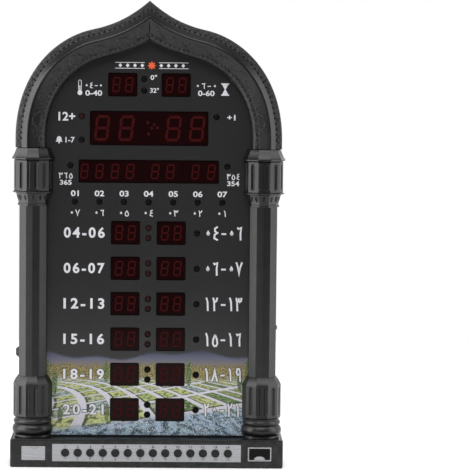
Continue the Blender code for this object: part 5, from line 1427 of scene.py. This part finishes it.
class CLOCK_OT_digits(bpy.types.Operator):
    """Make the unlit digits of every window"""
    bl_idname = "clock.digits"
    bl_label = "Digits"

    def execute(self, context):
        digits = copies_of("digit_segments", seven_segments(), digit_spots(), plain("unlit segment"))
        digits.data.shade_flat()
        attached(digits, "clock", "display_face")
        dots = bmesh.new()
        profile = [(radius * MM, DISPLAY_Y - lift * MM)
                   for radius, lift in ((0, 0.07), (1.25, 0.07), (1.35, 0.01), (0, 0.01))]
        for x, z in ((-1.2, 5.2), (4.6, 3.4), (7.6, 0.6), (2.4, 0.2), (-0.4, -4.9)):
            turned(dots, profile, 20, (x * MM, 0, TIME_Z + z * MM))
        attached(smoothed(piece_from("time_dots", dots, plain("unlit segment"))), "clock", "display_face")
        return {"FINISHED"}


# Lettering

EASTERN_STROKES = {
    "0": [[(0.5, 0.36), (0.64, 0.5), (0.5, 0.64), (0.36, 0.5), (0.5, 0.36)]],
    "1": [[(0.3, 1), (0.5, 0.7), (0.56, 0)]],
    "2": [[(0.16, 1), (0.3, 0.7), (0.36, 0)], [(0.2, 0.86), (0.42, 0.68), (0.66, 0.74), (0.8, 1)]],
    "3": [[(0.08, 1), (0.22, 0.7), (0.28, 0)], [(0.12, 0.86), (0.28, 0.68), (0.46, 0.76), (0.5, 0.98)],
          [(0.5, 0.84), (0.64, 0.68), (0.84, 0.76), (0.9, 1)]],
    "4": [[(0.76, 1), (0.34, 0.86), (0.34, 0.66), (0.72, 0.54), (0.3, 0.42), (0.24, 0.14), (0.8, 0)]],
    "5": [[(0.5, 0.88), (0.2, 0.5), (0.16, 0.2), (0.36, 0.02), (0.66, 0.02), (0.86, 0.2), (0.8, 0.5),
           (0.5, 0.88)]],
    "6": [[(0.16, 0.96), (0.34, 0.84), (0.76, 0.94), (0.64, 0.5), (0.68, 0)]],
    "7": [[(0.04, 1), (0.32, 0.6), (0.48, 0), (0.64, 0.6), (0.94, 1)]],
    "8": [[(0.04, 0), (0.34, 0.4), (0.5, 1), (0.66, 0.4), (0.94, 0)]],
    "9": [[(0.76, 0.62), (0.44, 0.5), (0.24, 0.7), (0.36, 0.96), (0.66, 0.96), (0.78, 0.7), (0.82, 0)]],
    "-": [[(0.14, 0.46), (0.86, 0.46)]],
}


class FlatArt:
    """Collects flat printed shapes on a plane facing -Y, then gives them the thickness of ink."""

    def __init__(self, front, ink=PRINT_LIFT):
        self.work = bmesh.new()
        self.front = front
        self.ink = ink
        self.layer = 0

    def depth(self):
        """Each shape lies a hair's breadth before the last, so that none share a face."""
        self.layer = (self.layer + 1) % 12
        return self.front - self.ink - self.layer * 0.002 * MM

    def shape(self, points):
        """A filled outline in X and Z."""
        near = self.depth()
        front = [self.work.verts.new((x, near, z)) for x, z in points]
        back = [self.work.verts.new((x, self.front + self.ink / 2, z)) for x, z in points]
        self.work.faces.new(front)
        self.work.faces.new(list(reversed(back)))
        self.walls(front, back)

    def walls(self, front, back):
        for index in range(len(front)):
            following = (index + 1) % len(front)
            self.work.faces.new((front[following], front[index], back[index], back[following]))

    def stroke(self, points, width, closed=False):
        """A line of even width through points, with mitred joints."""
        points = [Vector(point) for point in points]
        count = len(points)
        sides = []
        for index, point in enumerate(points):
            before = points[index - 1] if index or closed else None
            after = points[(index + 1) % count] if index + 1 < count or closed else None
            runs = [run.normalized() for run in (before and point - before, after and after - point) if run]
            along = sum(runs, Vector((0, 0))).normalized()
            across = Vector((-along.y, along.x))
            reach = width / 2 / max(0.6, abs(along.dot(runs[0])))
            sides.append((point + across * reach, point - across * reach))
        near, far = self.depth(), self.front + self.ink / 2
        front, back = ([[self.work.verts.new((spot.x, y, spot.y)) for spot in pair] for pair in sides]
                       for y in (near, far))
        for index in range(count if closed else count - 1):
            following = (index + 1) % count
            (left, right), (next_left, next_right) = front[index], front[following]
            (deep_left, deep_right), (far_left, far_right) = back[index], back[following]
            for corners in ((left, right, next_right, next_left),
                            (deep_left, far_left, far_right, deep_right),
                            (left, next_left, far_left, deep_left),
                            (right, deep_right, far_right, next_right)):
                self.work.faces.new(corners)
        if not closed:
            for end in (0, -1):
                self.work.faces.new((*front[end], *reversed(back[end])))

    def words(self, text, low_x, high_x, low_z, high_z, bold=BOLD, spacing=1.0):
        """Text in Blender's own font, fitted to a box but never much wider than it is cut."""
        curve = bpy.data.curves.new("words", "FONT")
        curve.body = text
        curve.offset = bold
        curve.space_character = spacing
        curve.resolution_u = 4
        mesh = mesh_of_curve(curve)
        spots = [vertex.co for vertex in mesh.vertices]
        left, right = min(spot.x for spot in spots), max(spot.x for spot in spots)
        bottom, top = min(spot.y for spot in spots), max(spot.y for spot in spots)
        spare = max(0.0, high_x - low_x - 1.25 * (right - left) / (top - bottom) * (high_z - low_z)) / 2
        low_x, high_x = low_x + spare, high_x - spare
        part = bmesh.new()
        part.from_mesh(mesh)
        bmesh.ops.remove_doubles(part, verts=part.verts, dist=WELD)
        made = bmesh.ops.extrude_face_region(part, geom=part.faces[:])
        moved = {item for item in made["geom"] if isinstance(item, bmesh.types.BMVert)}
        for vertex in part.verts:
            depth = self.front + self.ink / 2 if vertex in moved else self.front - self.ink
            vertex.co = (low_x + (vertex.co.x - left) / (right - left) * (high_x - low_x), depth,
                         low_z + (vertex.co.y - bottom) / (top - bottom) * (high_z - low_z))
        self.work.from_mesh(mesh_from("words", part))

    def eastern(self, text, low_x, high_x, low_z, high_z, width, fill=0.82, overrun=0.0):
        """Numbers in eastern Arabic numerals, drawn as pen strokes in equal boxes."""
        advance = (high_x - low_x) / len(text)
        for index, sign in enumerate(text):
            left = low_x + advance * (index + (1 - fill) / 2)
            for path in EASTERN_STROKES[sign]:
                spots = [Vector((left + x * advance * fill, low_z + y * (high_z - low_z))) for x, y in path]
                spots[0] += (spots[0] - spots[1]).normalized() * overrun
                spots[-1] += (spots[-1] - spots[-2]).normalized() * overrun
                self.stroke(spots, width)

    def finished(self, name, material):
        return smoothed(piece_from(name, self.work, material), 20)


ROW_HOURS = ("04-06", "06-07", "12-13", "15-16", "18-19", "20-21")


def mm(*values):
    return [value * MM for value in values]


def draw_rows(art, rows=range(ROW_COUNT), spread=0.0):
    """The hours of each row, in western numerals on the left and eastern ones on the right."""
    for row in rows:
        hours, height = ROW_HOURS[row], ROW_Z[row]
        half = WESTERN_HALF_HEIGHT + spread
        art.words(hours, WESTERN_ENDS[0] - spread, WESTERN_ENDS[1] + spread, height - half, height + half,
                  0.03 + spread / (11 * MM), 1.3)
        art.eastern(hours, *EASTERN_ENDS, height - EASTERN_HALF_HEIGHT, height + EASTERN_HALF_HEIGHT,
                    EASTERN_PEN + 2 * spread, overrun=spread)


def draw_weekdays(art):
    for day in range(7):
        centre = (day - 3) * WEEKDAY_PITCH
        ends = (centre - WEEKDAY_HALF_WIDTH, centre + WEEKDAY_HALF_WIDTH)
        art.words(f"0{day + 1}", *ends, WEEKDAY_Z + 4.9 * MM, WEEKDAY_Z + 10.2 * MM)
        art.eastern(f"0{7 - day}", *ends, WEEKDAY_Z - 12.8 * MM, WEEKDAY_Z - 7.2 * MM, 0.85 * MM)


def draw_top(art):
    """Thermometer, hourglass and their ranges beside the two top windows."""
    tube = rounded_rectangle(*mm(-62.5, 343.6), *mm(2.5, 9.4), 1.2 * MM)
    art.stroke(tube, 0.55 * MM, closed=True)
    art.shape(circle(*mm(-62.5, 337), 2.2 * MM, 20))
    art.stroke([mm(-62.5, 337), mm(-62.5, 343.5)], 0.9 * MM)
    art.words("0-40", *mm(-58.6, -41.5, 334.3, 339.3))
    art.eastern("04-0", *mm(-58.6, -41.5, 341.2, 346), 0.8 * MM)
    art.words("0-60", *mm(41, 61.5, 334.9, 339.9))
    art.eastern("06-0", *mm(41, 61.5, 341.4, 346.4), 0.8 * MM)
    art.stroke([mm(64.6, 346), mm(71.8, 346)], 1 * MM)
    art.stroke([mm(64.6, 335.9), mm(71.8, 335.9)], 1 * MM)
    art.shape([mm(65.3, 345.6), mm(71.1, 345.6), mm(68.6, 341), mm(67.8, 341)])
    art.shape([mm(65.3, 336.3), mm(67.8, 341), mm(68.6, 341), mm(71.1, 336.3)])
    art.words("0°", *mm(0.9, 6.8, 349, 353.6))
    art.words("32°", *mm(0.6, 8.6, 337.4, 341.9))


def draw_time_signs(art):
    art.words("12+", *mm(-81.7, -66.6, 311.7, 319.6))
    bell = [(-84.4, 292.7), (-83.3, 293.6), (-83.1, 296), (-82.2, 297.3), (-81, 297.7), (-79.8, 297.3),
            (-78.9, 296), (-78.7, 293.6), (-77.6, 292.7)]
    art.shape([mm(*point) for point in bell])
    art.shape(circle(*mm(-81, 291.9), 0.8 * MM, 14))
    art.words("1-7", *mm(-75.3, -67, 291.9, 297), 0.02)
    art.words("+1", *mm(69.3, 78.6, 313.2, 318.2))


def draw_calendars(art):
    art.words("365", *mm(-82.4, -67.2, 253.8, 258.3))
    art.eastern("365", *mm(-81.6, -68, 259.7, 264.8), 0.8 * MM)
    art.words("354", *mm(69.2, 83.4, 253.8, 258.3))
    art.eastern("354", *mm(70, 82.8, 259.7, 264.8), 0.8 * MM)


def draw_top_row(art):
    """Fine rules and lozenges to both sides of the star."""
    for side in (-1, 1):
        for step in range(4):
            centre = STAR_X + side * (8.5 + step * 6.6) * MM
            art.shape([(centre - 1.7 * MM, STAR_Z), (centre, STAR_Z - 1.9 * MM), (centre + 1.7 * MM, STAR_Z),
                       (centre, STAR_Z + 1.9 * MM)])
        for height in (STAR_Z - 2.6 * MM, STAR_Z + 2.6 * MM):
            art.stroke([(STAR_X + side * 6.4 * MM, height), (STAR_X + side * 33 * MM, height)], 0.5 * MM)


def star_points(centre_x, centre_z, outer, inner, rays=8):
    points = []
    for step in range(2 * rays):
        radius = outer if step % 2 == 0 else inner
        turn = math.pi * step / rays
        points.append((centre_x + radius * math.sin(turn), centre_z + radius * math.cos(turn)))
    return points


class CLOCK_OT_lettering(bpy.types.Operator):
    """Print the numbers and signs on the panel and the key plate"""
    bl_idname = "clock.lettering"
    bl_label = "Lettering"

    def execute(self, context):
        front = PANEL_LOW.y
        outlines = FlatArt(front, PRINT_LIFT * 0.5)
        draw_rows(outlines, range(FIRST_PRINT_ROW, ROW_COUNT), OUTLINE_SPREAD)
        attached(outlines.finished("panel_lettering_outlines", plain("dark print")), "clock", "panel")
        art = FlatArt(front)
        for draw in (draw_rows, draw_weekdays, draw_top, draw_time_signs, draw_calendars, draw_top_row):
            draw(art)
        attached(art.finished("panel_lettering", white_print()), "clock", "panel")
        star = FlatArt(front, PRINT_LIFT * 1.2)
        star.shape(star_points(STAR_X, STAR_Z, STAR_OUTER, STAR_INNER))
        attached(star.finished("top_row_star", star_print()), "clock", "panel")
        marks = FlatArt(KEY_PLATE_LOW.y, 0.04 * MM)
        for number, centre in enumerate(key_places(), start=1):
            text = str(number)
            half = KEY_MARK_HALF_WIDTH if number < 10 else KEY_MARK_WIDE_HALF_WIDTH
            ends = (centre - half, centre + half)
            marks.words(text, *ends, KEY_PLATE_HIGH.z - 3.3 * MM, KEY_PLATE_HIGH.z - 1.1 * MM, 0.01)
            marks.eastern(text, *ends, KEY_PLATE_LOW.z + 1.1 * MM, KEY_PLATE_LOW.z + 3.2 * MM, 0.32 * MM)
        attached(marks.finished("key_plate_marks", plain("dark print")), "clock", "silver_plate")
        # A thin grey arc line near the badge's top edge: painted shade where the edge has a small notch,
        # which is not modelled.
        notch_shade_line = FlatArt(BADGE_LOW.y, 0.03 * MM)
        middle = (BADGE_LOW.x + BADGE_HIGH.x) / 2 + 1.2 * MM
        parts = [step / 6 for step in range(-6, 7)]
        notch_shade_line.stroke([(middle + 3.4 * MM * part, BADGE_HIGH.z - 1.9 * MM + 1.3 * MM * part ** 2)
                      for part in parts], 0.4 * MM)
        attached(notch_shade_line.finished("badge_plate_notch", plain("grey painted shade")), "clock", "silver_plate")
        return {"FINISHED"}


# Keys, plates and small parts

def key_places():
    """The keys' middles across the plinth, read from their CAD nodes."""
    places = []
    for number in range(1, KEY_COUNT + 1):
        low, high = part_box(f"button_{number:02d}")
        places.append((low.x + high.x) / 2)
    return places


def key_piece(number, centre_x):
    """A dished round key with a soft rim, and the flange and stem that hold it."""
    low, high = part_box(f"button_{number:02d}")
    flange = low.y + KEY_FLANGE_BACK
    behind = flange + KEY_FLANGE_THICKNESS
    profile = [(radius * MM, low.y + back * MM) for radius, back in KEY_DISH]
    profile += [(KEY_RADIUS, flange), (KEY_FLANGE_RADIUS, flange), (KEY_FLANGE_RADIUS, behind),
                (KEY_STEM_RADIUS, behind), (KEY_STEM_RADIUS, high.y), (0, high.y)]
    work = bmesh.new()
    turned(work, profile, 40, (centre_x, 0, (low.z + high.z) / 2))
    name = f"key_{number:02d}_top"
    piece = smoothed(piece_from(name, work, plain("black plastic")), 32)
    return attached(piece, f"key_{number:02d}", "black_plastic", f"button_{number:02d}")


class CLOCK_OT_keys(bpy.types.Operator):
    """Make the key row, its plate and the plates at the plinth's ends"""
    bl_idname = "clock.keys"
    bl_label = "Keys and plates"

    def execute(self, context):
        refined("key_plate", "button_plate", "clock", "silver_plate", silver_plate(), 0.12 * MM)
        refined("badge_plate_face", "badge_plate", "clock", "silver_plate", silver_plate(), 0.15 * MM)
        refined("receiver_window_frame", "window_frame", "clock", "silver_plate", silver_plate(), 0.15 * MM)
        refined("receiver_window_lens", "window_lens", "clock", "dark_lens", dark_lens(), 0.12 * MM)
        for number, centre in enumerate(key_places(), start=1):
            key_piece(number, centre)
        return {"FINISHED"}


def screw_mesh():
    """A pan head with a cross recess, its face towards +Y at the origin."""
    work = bmesh.new()
    turned(work, [(radius * MM, along * MM) for radius, along in SCREW_PROFILE], 28)
    piece = piece_from("screw_form", work)
    slots = bmesh.new()
    for turn in (0, math.pi / 2):
        made = bmesh.ops.create_cube(slots, size=1)["verts"]
        bmesh.ops.scale(slots, vec=SCREW_SLOT, verts=made)
        bmesh.ops.rotate(slots, cent=(0, 0, 0), matrix=Matrix.Rotation(turn, 3, "Y"), verts=made)
    recess = piece_from("screw_recess", slots)
    cut = piece.modifiers.new("Recess", "BOOLEAN")
    cut.operation = "DIFFERENCE"
    cut.solver = "EXACT"
    cut.use_self = True
    cut.object = recess
    baked(piece)
    mesh = smoothed(piece).data
    bpy.data.objects.remove(piece)
    bpy.data.objects.remove(recess)
    return mesh


class CLOCK_OT_small_parts(bpy.types.Operator):
    """Make the screws and side controls, and finish the parts inside"""
    bl_idname = "clock.small_parts"
    bl_label = "Small parts"

    def execute(self, context):
        names = [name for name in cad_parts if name.startswith("cover_screw")]
        boxes = [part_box(name) for name in names]
        spots = upright(((low.x + high.x) / 2, high.y, (low.z + high.z) / 2) for low, high in boxes)
        attached(copies_of("cover_screws", screw_mesh(), spots, brushed_steel()), "clock", "steel", *names)
        black = plain("black plastic")
        refined("volume_knob_cap", "volume_knob", "knob", "black_plastic", black, 0.15 * MM)
        refined("switch_lever_cap", "switch_lever", "lever", "black_plastic", black, 0.15 * MM)
        refined("power_inlet", "dc_jack", "clock", "black_plastic", black, 0.1 * MM)
        inside = ((lacquered_board(), ("control_board", "button_board")),
                  (black, ("remote_receiver", "speaker")),
                  (brushed_steel(), ("backup_battery", "volume_control", "switch_body")))
        for material, nodes in inside:
            for node in nodes:
                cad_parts[node].data.materials[0] = material
        return {"FINISHED"}


# Stage

def soft_light(name, place, target, width, height, radiance, mirrored_only):
    """A soft box that shines from place towards target; a mirrored_only one is a card seen in gloss alone."""
    data = bpy.data.lights.new(name, "AREA")
    data.shape = "RECTANGLE"
    data.size, data.size_y = width, height
    data.energy = radiance * math.pi * width * height
    light = bpy.data.objects.new(name, data)
    light.location = place
    light.rotation_euler = (Vector(target) - Vector(place)).to_track_quat("-Z", "Y").to_euler()
    light.visible_camera = False
    light.visible_diffuse = not mirrored_only
    bpy.context.scene.collection.objects.link(light)


class CLOCK_OT_stage(bpy.types.Operator):
    """Set up the camera, the lamps and the pale floor"""
    bl_idname = "clock.stage"
    bl_label = "Stage"

    def execute(self, context):
        scene = context.scene
        scene.view_settings.view_transform = "Standard"
        camera = bpy.data.objects.new("Camera", bpy.data.cameras.new("Camera"))
        camera.data.lens = CAMERA_LENS
        camera.data.sensor_width = 36
        camera.data.clip_end = 100
        camera.location = CAMERA_PLACE
        aim = (CAMERA_TARGET - CAMERA_PLACE).to_track_quat("-Z", "Y").to_matrix().to_4x4()
        camera.rotation_euler = (aim @ Matrix.Rotation(CAMERA_ROLL, 4, "Z")).to_euler()
        scene.collection.objects.link(camera)
        scene.camera = camera
        self.white_world(scene)
        self.pale_floor()
        for light in LIGHTS:
            soft_light(*light)
        return {"FINISHED"}

    def white_world(self, scene):
        """A white backdrop behind and beside the clock, a darker room before it, and a plain grey light."""
        world = bpy.data.worlds.new("Studio")
        world.use_nodes = True
        world.node_tree.nodes.clear()
        wire = Wiring(world.node_tree)
        path = wire.add("ShaderNodeLightPath").outputs
        heading = wire.add("ShaderNodeTexCoord").outputs["Generated"]
        forward = wire.add("ShaderNodeSeparateXYZ", {0: heading}).outputs[1]
        lit = wire.math("MULTIPLY_ADD", wire.fade(forward, -0.3, 0.12), 0.85, 0.15)
        strength = wire.math("MAXIMUM", lit, path["Is Camera Ray"])
        light = wire.add("ShaderNodeBackground", {"Color": (1, 1, 1, 1), "Strength": strength})
        wire.add("ShaderNodeOutputWorld", {"Surface": light.outputs[0]})
        scene.world = world

    def pale_floor(self):
        """A wide floor that looks white but keeps the clock's soft shadow."""
        work = bmesh.new()
        bmesh.ops.create_circle(work, cap_ends=True, segments=64, radius=FLOOR_RADIUS)
        material = bpy.data.materials.new("Pale floor")
        material.use_nodes = True
        material.node_tree.nodes.clear()
        wire = Wiring(material.node_tree)
        path = wire.add("ShaderNodeLightPath").outputs
        place = wire.add("ShaderNodeTexCoord").outputs["Object"]
        mottled = wire.blend(wire.noise(place, 3.0), (0.8, 0.8, 0.8), (0.82, 0.82, 0.82))
        matte = wire.add("ShaderNodeBsdfDiffuse", {"Color": mottled}).outputs[0]
        seen = wire.math("MAXIMUM", wire.math("MAXIMUM", path["Is Camera Ray"], path["Is Glossy Ray"]),
                         path["Is Transmission Ray"])
        strength = wire.times(seen, 0.32)
        glow = wire.add("ShaderNodeEmission", {"Color": (1, 1, 1, 1), "Strength": strength})
        both = wire.add("ShaderNodeAddShader", {0: matte, 1: glow.outputs[0]}).outputs[0]
        wire.add("ShaderNodeOutputMaterial", {"Surface": both})
        piece_from("pale_floor", work, material)


class CLOCK_PT_looks(bpy.types.Panel):
    bl_idname = "CLOCK_PT_looks"
    bl_label = "Clock"
    bl_space_type = "VIEW_3D"
    bl_region_type = "UI"
    bl_category = "Clock"

    def draw(self, context):
        for step in STEPS:
            self.layout.operator(step.bl_idname)
        for settings in (context.scene.clock_sizes, context.scene.clock_colours):
            for name in settings.__annotations__:
                self.layout.prop(settings, name)


STEPS = (CLOCK_OT_stage, CLOCK_OT_casing, CLOCK_OT_arch, CLOCK_OT_columns, CLOCK_OT_panel, CLOCK_OT_digits,
         CLOCK_OT_lettering, CLOCK_OT_keys, CLOCK_OT_small_parts)
CLASSES = (ClockSizes, ClockColours, *STEPS, CLOCK_PT_looks)


def register():
    for made in CLASSES:
        bpy.utils.register_class(made)
    bpy.types.Scene.clock_sizes = bpy.props.PointerProperty(type=ClockSizes)
    bpy.types.Scene.clock_colours = bpy.props.PointerProperty(type=ClockColours)


def unregister():
    del bpy.types.Scene.clock_colours
    del bpy.types.Scene.clock_sizes
    for made in reversed(CLASSES):
        bpy.utils.unregister_class(made)


def main():
    register()
    for make in (bpy.ops.clock.stage, bpy.ops.clock.casing, bpy.ops.clock.arch, bpy.ops.clock.columns,
                 bpy.ops.clock.panel, bpy.ops.clock.digits, bpy.ops.clock.lettering, bpy.ops.clock.keys,
                 bpy.ops.clock.small_parts):
        make()


if __name__ == "__main__":
    main()
